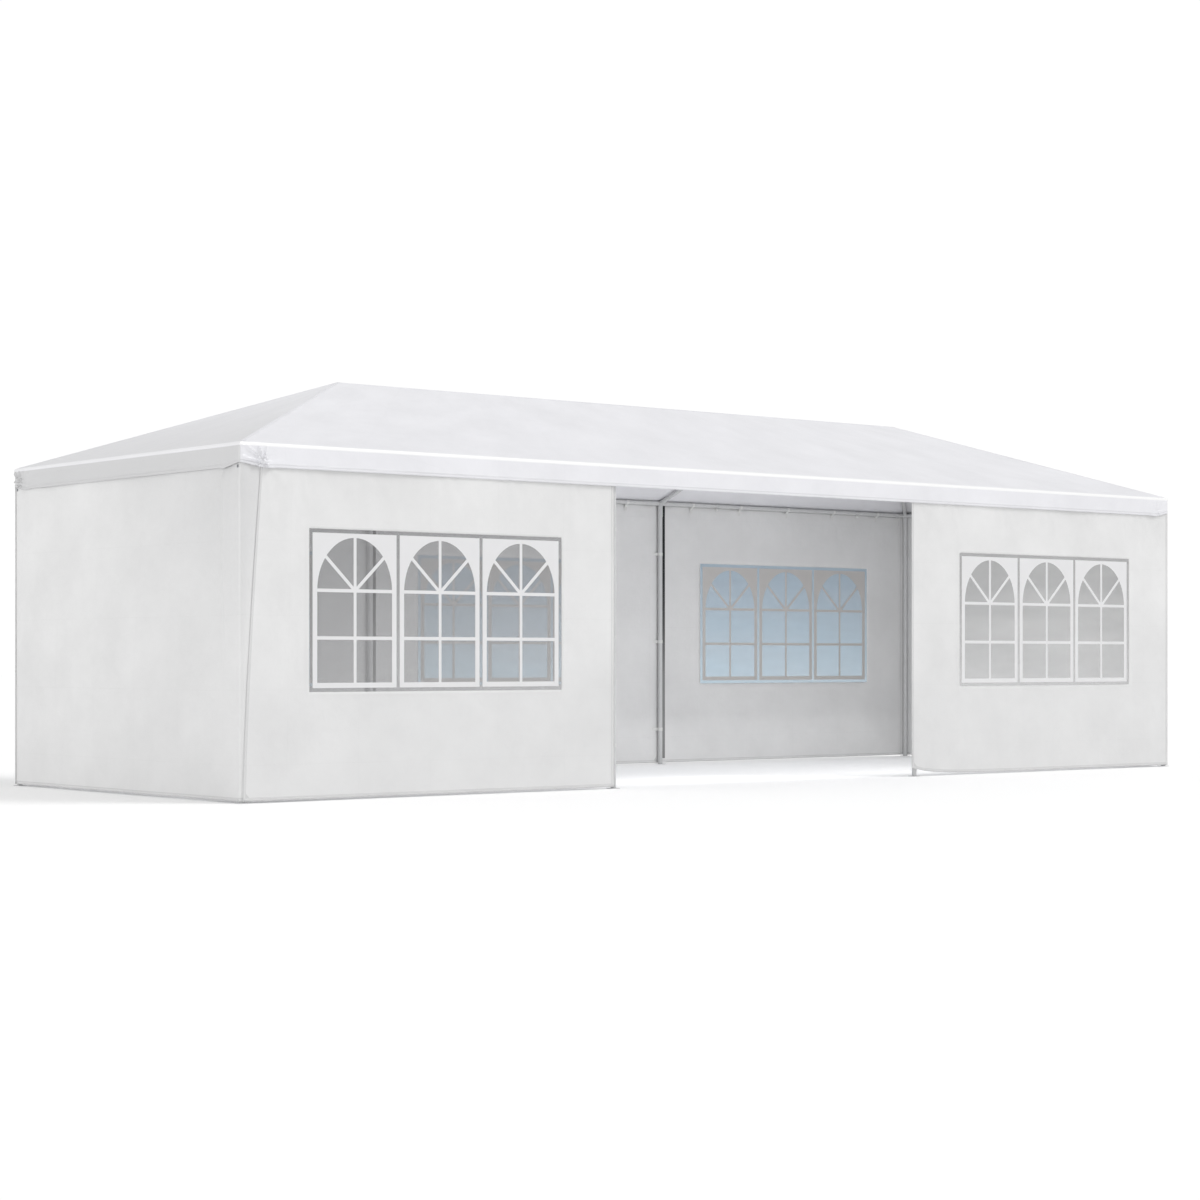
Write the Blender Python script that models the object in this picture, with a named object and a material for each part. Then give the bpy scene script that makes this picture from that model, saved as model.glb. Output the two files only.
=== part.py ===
"""Marquee tent, 3 m by 9 m: a white tube frame with a hipped roof cover, hung walls and window films.

Units are metres and +Z is up. The origin is on the ground at the centre of the plan. The open side, with the
doorway bay, faces -Y, and left is -X.
"""

import math

import bmesh
import bpy
from mathutils import Matrix, Vector

# Plan of the leg centres
LEG_LINES_X = (-4.5, -1.5, 1.5, 4.5)
HALF_LENGTH = LEG_LINES_X[-1]
HALF_SPAN = 1.5
LEFT_TO_RIGHT = ("left", "mid_left", "mid_right", "right")
BAYS = ("left", "middle", "right")
SIDES = (("front", -1), ("back", 1))

# Heights of the tube centres, and how far the ridge stops short of the end legs
EAVE_HEIGHT = 2.234
RIDGE_HEIGHT = 2.832
HIP_RUN = 1.7

# Tubes and the sockets of the heads that they slide into
TUBE_SIDES = 16
LEG_RADIUS = 0.019
RAIL_RADIUS = 0.016
SOCKET_PLAY = 0.0003
SOCKET_WALL = 0.0022
LEG_SOCKET_LENGTH = 0.115
RAIL_SOCKET_LENGTH = 0.105
SOCKET_FLOOR = 0.044
TUBE_STOP = 0.046
ARM_OVERLAP = 0.002

# Foot plates welded under the legs, with two peg holes each
PLATE_SIZE = 0.07
PLATE_THICKNESS = 0.004
PEG_HOLE_RADIUS = 0.005
PEG_HOLE_OFFSET = 0.026
PEG_HOLE_SIDES = 12

# Sheets: the cover lies on the rafters, and the walls hang just outside the legs
SHEET = 0.003
FIT_GAP = 0.0003
COVER_CLEARANCE = 0.023
WALL_CLEARANCE = 0.0225
VALANCE_CLEARANCE = 0.001
VALANCE_BOTTOM = 2.1
WALL_TOP = EAVE_HEIGHT
WALL_BOTTOM = 0.012
DOOR_EDGE = 1.475
BACK_SEAM_GAP = 0.006

# Windows, one in each bay wall of the long sides
WINDOW_WIDTH = 2.04
WINDOW_BOTTOM = 0.69
WINDOW_TOP = 1.73
FILM = 0.001
CUT_MARGIN = 0.02

PAINT_WHITE = (0.83, 0.84, 0.85, 1.0)
COVER_WHITE = (0.86, 0.86, 0.88, 1.0)
WALL_WHITE = (0.8, 0.8, 0.82, 1.0)
FILM_CLEAR = (0.78, 0.83, 0.87, 0.35)


def clear_scene():
    for obj in list(bpy.data.objects):
        bpy.data.objects.remove(obj)


def make_material(name, colour, roughness, metallic=0.0):
    material = bpy.data.materials.new(name)
    material.use_nodes = True
    shader = material.node_tree.nodes["Principled BSDF"]
    shader.inputs["Base Color"].default_value = colour
    shader.inputs["Alpha"].default_value = colour[3]
    shader.inputs["Roughness"].default_value = roughness
    shader.inputs["Metallic"].default_value = metallic
    return material


def add_object(name, mesh, parent, material=None):
    obj = bpy.data.objects.new(name, mesh)
    bpy.context.scene.collection.objects.link(obj)
    obj.parent = parent
    if material:
        mesh.materials.append(material)
    return obj


def add_empty(name):
    return add_object(name, None, None)


def finish_mesh(name, bm, smooth=False):
    """Turns the faces outwards and makes a mesh of them, round where it is a tube."""
    bmesh.ops.recalc_face_normals(bm, faces=bm.faces)
    mesh = bpy.data.meshes.new(name)
    bm.to_mesh(mesh)
    bm.free()
    if smooth:
        mesh.shade_smooth()
        mesh.set_sharp_from_angle(angle=math.radians(35))
    return mesh


def rod_mesh(name, radius, length, sides=TUBE_SIDES):
    """A round rod along local +Z from its origin: half its section, spun round the axis."""
    bm = bmesh.new()
    section = [(0, 0, 0), (radius, 0, 0), (radius, 0, length), (0, 0, length)]
    points = [bm.verts.new(co) for co in section]
    edges = [bm.edges.new(pair) for pair in zip(points, points[1:])]
    bmesh.ops.spin(
        bm,
        geom=points + edges,
        axis=(0, 0, 1),
        cent=(0, 0, 0),
        angle=math.tau,
        steps=sides,
        use_merge=True,
    )
    bmesh.ops.remove_doubles(bm, verts=bm.verts, dist=1e-6)
    return finish_mesh(name, bm, smooth=True)


def add_rod(name, start, direction, radius, length, parent, material=None, sides=TUBE_SIDES):
    obj = add_object(name, rod_mesh(name, radius, length, sides), parent, material)
    obj.location = start
    obj.rotation_euler = direction.to_track_quat("Z", "Y").to_euler()
    return obj


def add_box(name, low, high, parent, material=None):
    low, high = Vector(low), Vector(high)
    bm = bmesh.new()
    bmesh.ops.create_cube(bm, size=1, matrix=Matrix.Diagonal((*(high - low), 1)))
    obj = add_object(name, finish_mesh(name, bm), parent, material)
    obj.location = (low + high) / 2
    return obj


def add_boolean(obj, operation, others):
    """Joins or cuts with every shape of a list, which stays in the file as a hidden guide."""
    guides = bpy.data.collections.new(f"{obj.name}_{operation.lower()}")
    bpy.context.scene.collection.children.link(guides)
    guides.hide_render = True
    for other in others:
        bpy.context.scene.collection.objects.unlink(other)
        guides.objects.link(other)
        other.hide_render = True
        other.display_type = "WIRE"
    modifier = obj.modifiers.new(operation.lower(), "BOOLEAN")
    modifier.operation = operation
    modifier.operand_type = "COLLECTION"
    modifier.collection = guides
    modifier.solver = "EXACT"


def add_tube(name, start, end, radius, parent, material):
    """A frame tube between two heads. It stops just short of the floor of each socket."""
    direction = (end - start).normalized()
    length = (end - start).length - 2 * TUBE_STOP
    return add_rod(name, start + direction * TUBE_STOP, direction, radius, length, parent, material)


def add_head(name, centre, arms, parent, material):
    """A welded head: a round hub with one socket for each (direction, tube radius, socket length)."""
    hub_radius = LEG_RADIUS + SOCKET_PLAY + SOCKET_WALL
    bm = bmesh.new()
    bmesh.ops.create_uvsphere(bm, u_segments=TUBE_SIDES, v_segments=8, radius=hub_radius)
    head = add_object(name, finish_mesh(name, bm, smooth=True), parent, material)
    head.location = centre
    sockets = []
    bores = []
    for number, (direction, tube_radius, length) in enumerate(arms):
        bore_radius = tube_radius + SOCKET_PLAY
        back = centre - direction * ARM_OVERLAP
        sockets.append(
            add_rod(
                f"{name}_socket_{number}",
                back,
                direction,
                bore_radius + SOCKET_WALL,
                length + ARM_OVERLAP,
                parent,
            )
        )
        floor = centre + direction * SOCKET_FLOOR
        depth = length - SOCKET_FLOOR + CUT_MARGIN
        bores.append(add_rod(f"{name}_bore_{number}", floor, direction, bore_radius, depth, parent))
    add_boolean(head, "UNION", sockets)
    add_boolean(head, "DIFFERENCE", bores)
    return head


def add_leg(name, x, y, parent, material):
    """A leg tube standing on its welded foot plate."""
    top = EAVE_HEIGHT - TUBE_STOP
    bottom = PLATE_THICKNESS / 2
    foot = Vector((x, y, bottom))
    leg = add_rod(name, foot, Vector((0, 0, 1)), LEG_RADIUS, top - bottom, parent, material)
    half = PLATE_SIZE / 2
    plate = add_box(f"{name}_plate", (x - half, y - half, 0), (x + half, y + half, PLATE_THICKNESS), parent)
    add_boolean(leg, "UNION", [plate])
    holes = []
    for end in (-1, 1):
        start = Vector((x + end * PEG_HOLE_OFFSET, y - end * PEG_HOLE_OFFSET, -CUT_MARGIN))
        depth = PLATE_THICKNESS + 2 * CUT_MARGIN
        hole_name = f"{name}_peg_hole_{end + 1}"
        up = Vector((0, 0, 1))
        holes.append(add_rod(hole_name, start, up, PEG_HOLE_RADIUS, depth, parent, sides=PEG_HOLE_SIDES))
    add_boolean(leg, "DIFFERENCE", holes)
    return leg


def eave_point(x, side):
    return Vector((x, side * HALF_SPAN, EAVE_HEIGHT))


def ridge_point(x):
    return Vector((x, 0, RIDGE_HEIGHT))


def ridge_end(x):
    """The end of the ridge above the end leg line at x."""
    return ridge_point(math.copysign(HALF_LENGTH - HIP_RUN, x))


def toward(start, end):
    return (end - start).normalized()


def add_legs_and_heads(frame, paint):
    down = (Vector((0, 0, -1)), LEG_RADIUS, LEG_SOCKET_LENGTH)
    along = Vector((1, 0, 0))
    for side_name, side in SIDES:
        for place, x in zip(LEFT_TO_RIGHT, LEG_LINES_X):
            add_leg(f"leg_{side_name}_{place}", x, side * HALF_SPAN, frame, paint)
            centre = eave_point(x, side)
            if abs(x) == HALF_LENGTH:
                kind = "corner"
                inward = along * -math.copysign(1, x)
                across = Vector((0, -side, 0))
                ways = [inward, across, toward(centre, ridge_end(x))]
            else:
                kind = "side"
                ways = [along, -along, toward(centre, ridge_point(x))]
            arms = [down] + [(way, RAIL_RADIUS, RAIL_SOCKET_LENGTH) for way in ways]
            add_head(f"{kind}_head_{side_name}_{place}", centre, arms, frame, paint)


def add_eave_rails(frame, paint):
    for side_name, side in SIDES:
        for bay, x_from, x_to in zip(BAYS, LEG_LINES_X, LEG_LINES_X[1:]):
            name = f"eave_rail_{side_name}_{bay}"
            add_tube(name, eave_point(x_from, side), eave_point(x_to, side), RAIL_RADIUS, frame, paint)
    for end_name, x in (("left", -HALF_LENGTH), ("right", HALF_LENGTH)):
        name = f"eave_rail_end_{end_name}"
        add_tube(name, eave_point(x, -1), eave_point(x, 1), RAIL_RADIUS, frame, paint)


def add_ridge_and_rafters(frame, paint):
    along = Vector((1, 0, 0))
    stations = [ridge_end(-1), ridge_point(LEG_LINES_X[1]), ridge_point(LEG_LINES_X[2]), ridge_end(1)]
    for bay, start, end in zip(BAYS, stations, stations[1:]):
        add_tube(f"ridge_rail_{bay}", start, end, RAIL_RADIUS, frame, paint)
    for end_name, sign in (("left", -1), ("right", 1)):
        leg_line = sign * HALF_LENGTH
        peak = ridge_end(sign)
        ways = [along * -sign] + [toward(peak, eave_point(leg_line, side)) for _, side in SIDES]
        arms = [(way, RAIL_RADIUS, RAIL_SOCKET_LENGTH) for way in ways]
        add_head(f"ridge_end_head_{end_name}", peak, arms, frame, paint)
        middle = ridge_point(sign * LEG_LINES_X[2])
        ways = [along, -along] + [toward(middle, eave_point(middle.x, side)) for _, side in SIDES]
        arms = [(way, RAIL_RADIUS, RAIL_SOCKET_LENGTH) for way in ways]
        add_head(f"ridge_head_{end_name}", middle, arms, frame, paint)
        for side_name, side in SIDES:
            corner = eave_point(leg_line, side)
            add_tube(f"hip_rafter_{side_name}_{end_name}", corner, peak, RAIL_RADIUS, frame, paint)
            eave = eave_point(middle.x, side)
            add_tube(f"rafter_{side_name}_{end_name}", eave, middle, RAIL_RADIUS, frame, paint)


def cover_outline(offset, half_width):
    """Corners of the cover's surface at a distance from the rafter planes: rim, fold and ridge ends.

    The long slopes and the end slopes differ, so the half length is the one that brings both folds to one height.
    """
    rise = RIDGE_HEIGHT - EAVE_HEIGHT
    long_slope = rise / HALF_SPAN
    end_slope = rise / HIP_RUN
    long_lift = offset * math.hypot(1, long_slope)
    end_lift = offset * math.hypot(1, end_slope)
    fold_lift = long_lift - (half_width - HALF_SPAN) * long_slope
    half_length = HALF_LENGTH + (end_lift - fold_lift) / end_slope
    ridge_x = HALF_LENGTH - (rise + long_lift - end_lift) / end_slope
    signs = ((-1, -1), (1, -1), (1, 1), (-1, 1))
    plan = [(x_sign * half_length, y_sign * half_width) for x_sign, y_sign in signs]
    rim = [(x, y, VALANCE_BOTTOM) for x, y in plan]
    fold = [(x, y, EAVE_HEIGHT + fold_lift) for x, y in plan]
    ridge = [(x, 0, RIDGE_HEIGHT + long_lift) for x in (-ridge_x, ridge_x)]
    return rim + fold + ridge


def add_panel(name, faces, inner, outer, shift, skins, cloth):
    """One sewn panel of the cover: its faces on both surfaces, closed along every edge that only one face uses."""
    bm = bmesh.new()
    corners = sorted(set(sum(faces, ())))
    skin = [{corner: bm.verts.new(Vector(side[corner]) + shift) for corner in corners} for side in (inner, outer)]
    edges = [edge for face in faces for edge in zip(face, face[1:] + face[:1])]
    for surface in skin:
        for face in faces:
            bm.faces.new([surface[corner] for corner in face])
    for first, second in edges:
        if (second, first) not in edges:
            bm.faces.new([skin[0][first], skin[0][second], skin[1][second], skin[1][first]])
    add_object(name, finish_mesh(name, bm), skins, cloth)


def add_cover(skins, cloth):
    """The roof cover: four panels that meet along the ridge and the hips, each with its stretch of the valance."""
    inner_half = HALF_SPAN + WALL_CLEARANCE + SHEET + VALANCE_CLEARANCE
    inner = cover_outline(COVER_CLEARANCE, inner_half)
    outer = cover_outline(COVER_CLEARANCE + SHEET, inner_half + SHEET)
    panels = {
        "front": (((0, 1, 5, 4), (4, 5, 9, 8)), (0, -1, 0)),
        "back": (((2, 3, 7, 6), (6, 7, 8, 9)), (0, 1, 0)),
        "right": (((1, 2, 6, 5), (5, 6, 9)), (1, 0, 0)),
        "left": (((3, 0, 4, 7), (7, 4, 8)), (-1, 0, 0)),
    }
    for side_name, (faces, outward) in panels.items():
        add_panel(f"roof_{side_name}", faces, inner, outer, Vector(outward) * FIT_GAP, skins, cloth)


def add_window(wall, x_middle, y_inner, y_outer, skins, film):
    """Cuts the window out of a wall and fits its film in the opening."""
    x_low = x_middle - WINDOW_WIDTH / 2
    x_high = x_middle + WINDOW_WIDTH / 2
    y_low, y_high = sorted((y_inner, y_outer))
    cutter = add_box(
        f"{wall.name}_window",
        (x_low, y_low - CUT_MARGIN, WINDOW_BOTTOM),
        (x_high, y_high + CUT_MARGIN, WINDOW_TOP),
        skins,
    )
    add_boolean(wall, "DIFFERENCE", [cutter])
    y_middle = (y_low + y_high) / 2
    add_box(
        wall.name.replace("wall", "window_film"),
        (x_low + FIT_GAP, y_middle - FILM / 2, WINDOW_BOTTOM + FIT_GAP),
        (x_high - FIT_GAP, y_middle + FILM / 2, WINDOW_TOP - FIT_GAP),
        skins,
        film,
    )


def add_long_wall(side_name, side, bay, x_from, x_to, skins, cloth, film):
    y_inner = side * (HALF_SPAN + WALL_CLEARANCE)
    y_outer = y_inner + side * SHEET
    y_low, y_high = sorted((y_inner, y_outer))
    name = f"wall_{side_name}_{bay}"
    wall = add_box(name, (x_from, y_low, WALL_BOTTOM), (x_to, y_high, WALL_TOP), skins, cloth)
    bay_middle = HALF_LENGTH * (BAYS.index(bay) - 1) * 2 / 3
    add_window(wall, bay_middle, y_inner, y_outer, skins, film)


def add_walls(skins, cloth, film):
    """Two windowed walls in front beside the doorway bay, three behind, and a plain wall at each end."""
    corner = HALF_LENGTH + WALL_CLEARANCE + SHEET
    seam = LEG_LINES_X[2]
    half_gap = BACK_SEAM_GAP / 2
    add_long_wall("front", -1, "left", -corner, -DOOR_EDGE, skins, cloth, film)
    add_long_wall("front", -1, "right", DOOR_EDGE, corner, skins, cloth, film)
    add_long_wall("back", 1, "left", -corner, -seam - half_gap, skins, cloth, film)
    add_long_wall("back", 1, "middle", -seam + half_gap, seam - half_gap, skins, cloth, film)
    add_long_wall("back", 1, "right", seam + half_gap, corner, skins, cloth, film)
    half_width = HALF_SPAN + WALL_CLEARANCE - FIT_GAP
    for end_name, sign in (("left", -1), ("right", 1)):
        x_low, x_high = sorted((sign * (corner - SHEET), sign * corner))
        low = (x_low, -half_width, WALL_BOTTOM)
        high = (x_high, half_width, WALL_TOP)
        add_box(f"wall_end_{end_name}", low, high, skins, cloth)


def main():
    clear_scene()
    paint = make_material("white_frame_paint", PAINT_WHITE, 0.35)
    cover_cloth = make_material("cover_cloth", COVER_WHITE, 0.5)
    wall_cloth = make_material("wall_cloth", WALL_WHITE, 0.55)
    film = make_material("window_film", FILM_CLEAR, 0.1)
    frame = add_empty("frame")
    skins = add_empty("skins")
    add_legs_and_heads(frame, paint)
    add_eave_rails(frame, paint)
    add_ridge_and_rafters(frame, paint)
    add_cover(skins, cover_cloth)
    add_walls(skins, wall_cloth, film)


main()
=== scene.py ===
"""Looks of a 3 m by 9 m marquee tent: its cloth, windows, fittings and frame paint, and a plain studio."""

import math

import bmesh
import bpy
import numpy as np
from bpy.props import FloatProperty, FloatVectorProperty, IntProperty, PointerProperty
from mathutils import Matrix, Vector, noise


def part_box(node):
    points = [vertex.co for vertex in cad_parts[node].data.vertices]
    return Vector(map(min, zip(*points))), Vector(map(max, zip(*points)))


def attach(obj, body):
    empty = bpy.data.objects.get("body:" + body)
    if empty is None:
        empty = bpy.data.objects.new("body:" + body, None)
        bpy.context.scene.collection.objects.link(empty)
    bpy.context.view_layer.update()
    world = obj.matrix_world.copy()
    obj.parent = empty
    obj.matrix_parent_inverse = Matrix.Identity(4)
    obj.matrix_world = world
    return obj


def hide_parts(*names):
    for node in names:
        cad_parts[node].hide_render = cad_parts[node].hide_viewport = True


bl_info = {
    "name": "Marquee tent",
    "version": (1, 0, 0),
    "blender": (4, 5, 0),
    "location": "3D View > Sidebar > Marquee",
    "description": "Dresses the frame of a marquee tent in its cloth, windows and fittings",
    "category": "Add Mesh",
}

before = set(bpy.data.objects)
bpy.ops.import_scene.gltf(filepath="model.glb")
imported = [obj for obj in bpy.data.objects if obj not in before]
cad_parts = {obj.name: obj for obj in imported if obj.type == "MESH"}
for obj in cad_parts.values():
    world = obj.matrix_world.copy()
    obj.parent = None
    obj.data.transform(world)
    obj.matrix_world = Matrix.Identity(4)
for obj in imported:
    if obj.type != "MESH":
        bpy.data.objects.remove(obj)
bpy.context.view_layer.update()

# Names of the frame's own pieces
BODY = "root"
ROOF_PANELS = ("roof_front", "roof_back", "roof_left", "roof_right")
LONG_WALLS = ("wall_front_left", "wall_front_right", "wall_back_left", "wall_back_middle", "wall_back_right")
END_WALLS = ("wall_end_left", "wall_end_right")
FILMS = tuple(sorted(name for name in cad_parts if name.startswith("window_film")))
TUBES_AND_HEADS = tuple(
    sorted(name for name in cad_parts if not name.startswith(("roof_", "wall_", "window_")))
)

# Each side's way along, running round the tent, and its way out
WAYS = {
    "front": (Vector((1, 0, 0)), Vector((0, -1, 0))),
    "right": (Vector((0, 1, 0)), Vector((1, 0, 0))),
    "back": (Vector((-1, 0, 0)), Vector((0, 1, 0))),
    "left": (Vector((0, -1, 0)), Vector((-1, 0, 0))),
}
ENDS = ("left", "right")
UP = Vector((0, 0, 1))


def middle_of(node):
    """The middle of a frame piece's box."""
    low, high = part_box(node)
    return (low + high) / 2


# Lines of the frame, read from its pieces
LEG_X = middle_of("leg_front_right").x
LEG_Y = middle_of("leg_back_right").y
BAY_X = middle_of("leg_front_mid_right").x
RAIL_Z = middle_of("eave_rail_front_middle").z
RIDGE_Z = middle_of("ridge_rail_middle").z
RAIL_RADIUS = (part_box("eave_rail_front_middle")[1].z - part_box("eave_rail_front_middle")[0].z) / 2
COVER_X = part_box("roof_right")[1].x
COVER_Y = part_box("roof_back")[1].y
COVER_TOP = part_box("roof_front")[1].z
COVER_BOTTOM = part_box("roof_front")[0].z
RIDGE_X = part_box("roof_right")[0].x
WALL_OUT = middle_of("wall_back_middle").y - LEG_Y
WALL_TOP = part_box("wall_back_middle")[1].z
WINDOW_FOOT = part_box("window_film_back_middle")[0].z
WINDOW_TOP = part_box("window_film_back_middle")[1].z

# Radius of a leg's tube, thickness of a head's socket, and the cover's gap over the eave rail
LEG_RADIUS = 0.019
SOCKET_WALL = 0.0025
COVER_GAP = 0.0002
FOLD_Z = RAIL_Z + RAIL_RADIUS + COVER_GAP

# Edges of the walls beside the open bay
DOOR_LEFT = -BAY_X - 0.015
DOOR_RIGHT = BAY_X - 0.055

# Where straps hold a wall to its eave rail, from the middle of its bay
STRAP_PLACES = (-1.13, -0.57, 0.0, 0.57, 1.13)

# Soft step where a hem or a window's welded band ends, and that band's width and height
STEP = 0.0016
HALF_STEP = STEP / 2
BAND_WIDTH = 0.020
BAND_LIFT = 0.0006

# Distance between the points of a wall
WALL_GRID = 0.03

# Heights of the cloth's fine ripples, and of the folds drawn from corners and straps
EAVE_RIPPLE = 0.0016
CORNER_RIPPLE = 0.006
VALANCE_RIPPLE = 0.0012
LONG_WALL_RIPPLE = 0.0018
END_WALL_RIPPLE = 0.0012
CORNER_PULL = 0.0085
STRAP_PULL = 0.0075

# Distances within which points become one, in sheets and in fittings
SHEET_MERGE = 1e-5
FITTING_MERGE = 1e-6

# Angles over which an edge is sharp, in sheets and in fittings
SHEET_SHARP = math.radians(35)
FITTING_SHARP = math.radians(40)


class MarqueeCloth(bpy.types.PropertyGroup):
    """Sizes and colours of the roof cover and the walls."""

    roof_colour: FloatVectorProperty(
        name="Roof colour", description="Colour of the roof cover", subtype="COLOR",
        default=(0.87, 0.87, 0.905),
    )
    wall_colour: FloatVectorProperty(
        name="Wall colour", description="Colour of the walls", subtype="COLOR", default=(0.80, 0.80, 0.80)
    )
    # How grey the cloth's painted shade is at its fullest
    painted_shade_tone: FloatProperty(
        name="Painted shade tone", description="How grey the cloth is where it has aged most", default=0.75
    )
    # How white the cloth's painted highlight along the eave fold is
    fold_highlight_white: FloatProperty(
        name="Fold white", description="How white the coating turns along a sharp fold", default=0.97
    )
    thickness: FloatProperty(
        name="Thickness", description="Thickness of the coated cloth", unit="LENGTH", default=0.0012
    )
    tape_width: FloatProperty(
        name="Tape width", description="Width of the tapes that the cloth is woven from", unit="LENGTH",
        default=0.0025,
    )
    hem_width: FloatProperty(
        name="Hem width", description="Width of the folded hems", unit="LENGTH", default=0.020
    )
    hem_lift: FloatProperty(
        name="Hem lift", description="How far a hem stands out of the cloth", unit="LENGTH", default=0.0012
    )
    fold_radius: FloatProperty(
        name="Eave fold", description="Size of the soft fold at the eave", unit="LENGTH", default=0.022
    )
    corner_radius: FloatProperty(
        name="Corner radius", description="Radius of the valance's soft corners", unit="LENGTH", default=0.022
    )
    roof_sag: FloatProperty(
        name="Roof sag", description="How far the cover sags between rafters", unit="LENGTH", default=0.014
    )
    seam_width: FloatProperty(
        name="Seam width", description="Width of the tape over ridge and hips", unit="LENGTH", default=0.030
    )
    valance_wave: FloatProperty(
        name="Valance wave", description="How far the valance waves in and out", unit="LENGTH", default=0.006
    )
    gather: FloatProperty(
        name="Corner gather", description="Height of the puckers at the cover's corners", unit="LENGTH",
        default=0.030,
    )
    wall_wave: FloatProperty(
        name="Wall wave", description="How far the walls wave in and out", unit="LENGTH", default=0.016
    )


class MarqueeWindow(bpy.types.PropertyGroup):
    """Sizes and colours of the windows."""

    units: IntProperty(name="Units", description="Arched lights side by side in a window", default=3, min=1)
    margin: FloatProperty(
        name="Clear margin", description="Clear film left between the printed lights", unit="LENGTH",
        default=0.025,
    )
    side: FloatProperty(
        name="Side border", description="Printed border beside a light", unit="LENGTH", default=0.035
    )
    head: FloatProperty(
        name="Top border", description="Printed border over the arch", unit="LENGTH", default=0.027
    )
    sill: FloatProperty(
        name="Bottom border", description="Printed border under the lowest panes", unit="LENGTH",
        default=0.033,
    )
    bar: FloatProperty(
        name="Bar width", description="Width of the printed glazing bars", unit="LENGTH", default=0.022
    )
    rise: FloatProperty(
        name="Arch rise", description="Height of the fan over its lowest bar", unit="LENGTH", default=0.34
    )
    thickness: FloatProperty(
        name="Print thickness", description="Thickness of the printed lights", unit="LENGTH", default=0.0024
    )
    print_colour: FloatVectorProperty(
        name="Print colour", description="Colour of the printed lights", subtype="COLOR",
        default=(0.79, 0.79, 0.80),
    )
    # The print's inner faces are a darker copy of the print, as painted shade
    inner_shaded_colour: FloatVectorProperty(
        name="Inner print colour", description="Colour of the lights' inner faces", subtype="COLOR",
        default=(0.58, 0.565, 0.55),
    )
    # The film comes in three lit and shaded copies: darker in front as painted shade, paler at the front's
    # right as painted light, and bluish behind as painted sky light
    front_shaded_tint: FloatVectorProperty(
        name="Front film tint", description="Tint of the film in front", subtype="COLOR",
        default=(0.37, 0.37, 0.375),
    )
    front_right_lit_tint: FloatVectorProperty(
        name="Bright film tint", description="Tint of the paler film at the front's right", subtype="COLOR",
        default=(0.62, 0.62, 0.62),
    )
    back_skylit_tint: FloatVectorProperty(
        name="Back film tint", description="Tint of the film behind", subtype="COLOR",
        default=(0.57, 0.71, 0.86),
    )
    front_alpha: FloatProperty(
        name="Front film body", description="How much the front film veils", default=0.36
    )
    bright_alpha: FloatProperty(
        name="Bright film body", description="How much the paler film at the front's right veils", default=0.5
    )
    back_alpha: FloatProperty(name="Back film body", description="How much the back film veils", default=0.68)


class MarqueeFittings(bpy.types.PropertyGroup):
    """Sizes and colours of the frame's paint and the small fittings."""

    paint: FloatVectorProperty(
        name="Paint", description="Powder coat of the tubes", subtype="COLOR", default=(0.66, 0.665, 0.67)
    )
    webbing: FloatVectorProperty(
        name="Webbing", description="Colour of the wall straps", subtype="COLOR", default=(0.78, 0.78, 0.77)
    )
    # Colour of the near-black strips at the back seams, which are painted shadow
    hook_tape: FloatVectorProperty(
        name="Seam shadow strip", description="Colour of the hook tape at the back seams", subtype="COLOR",
        default=(0.016, 0.016, 0.018),
    )
    strap_width: FloatProperty(
        name="Strap width", description="Width of the wall straps", unit="LENGTH", default=0.026
    )
    strap_thickness: FloatProperty(
        name="Strap thickness", description="Thickness of the wall straps", unit="LENGTH", default=0.0011
    )
    ball_radius: FloatProperty(
        name="Ball radius", description="Radius of the elastic ties' balls", unit="LENGTH", default=0.0135
    )
    elastic_radius: FloatProperty(
        name="Elastic radius", description="Radius of the ties' elastic cord", unit="LENGTH", default=0.0021
    )
    button_radius: FloatProperty(
        name="Button radius", description="Radius of the spring buttons", unit="LENGTH", default=0.0034
    )
    weld_radius: FloatProperty(
        name="Weld radius", description="Radius of the weld beads", unit="LENGTH", default=0.0019
    )
    eyelet_radius: FloatProperty(
        name="Eyelet radius", description="Outer radius of the corner eyelets", unit="LENGTH", default=0.011
    )


class MarqueeStage(bpy.types.PropertyGroup):
    """The studio: camera, floor and lights."""

    camera_place: FloatVectorProperty(
        name="Camera place", description="Where the camera stands", subtype="TRANSLATION", unit="LENGTH",
        default=(-13.049, -15.479, 0.897),
    )
    camera_turn: FloatProperty(
        name="Camera turn", description="Turn of the level camera from straight at the front",
        unit="ROTATION", default=math.radians(39.27),
    )
    lens: FloatProperty(name="Lens", description="Focal length in millimetres", default=78.2)
    horizon_shift: FloatProperty(
        name="Horizon shift", description="Upward shift of the picture, in picture widths", default=0.0496
    )
    floor_colour: FloatVectorProperty(
        name="Floor colour", description="Colour of the plain floor", subtype="COLOR",
        default=(0.97, 0.97, 0.97),
    )
    floor_glow: FloatProperty(name="Floor glow", description="Light the floor gives off", default=0.10)
    sky: FloatProperty(name="Sky", description="Strength of the soft light all round", default=0.70)
    key: FloatProperty(name="Key light", description="Strength of the soft high light, in W/m2", default=1.0)
    key_softness: FloatProperty(
        name="Key softness", description="Width of the high light in the sky", unit="ROTATION",
        default=math.radians(24),
    )
    key_way: FloatVectorProperty(
        name="Key direction", description="Way to the high light", subtype="DIRECTION",
        default=(0.45, -0.45, 0.77),
    )
    rim: FloatProperty(
        name="Rim light", description="Strength of the low light behind, in W/m2", default=0.62
    )
    rim_way: FloatVectorProperty(
        name="Rim direction", description="Way to the low light behind", subtype="DIRECTION",
        default=(-0.99, 0.10, 0.06),
    )
    fill: FloatProperty(
        name="Doorway fill", description="Power of the soft light in the open bay", unit="POWER", default=12
    )
    bay_fill: FloatProperty(
        name="Right bay fill", description="Power of the soft light in the right bay", unit="POWER", default=6
    )
    floor_wash: FloatProperty(
        name="Floor wash", description="Power of the low light on the floor inside", unit="POWER", default=14
    )


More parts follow.
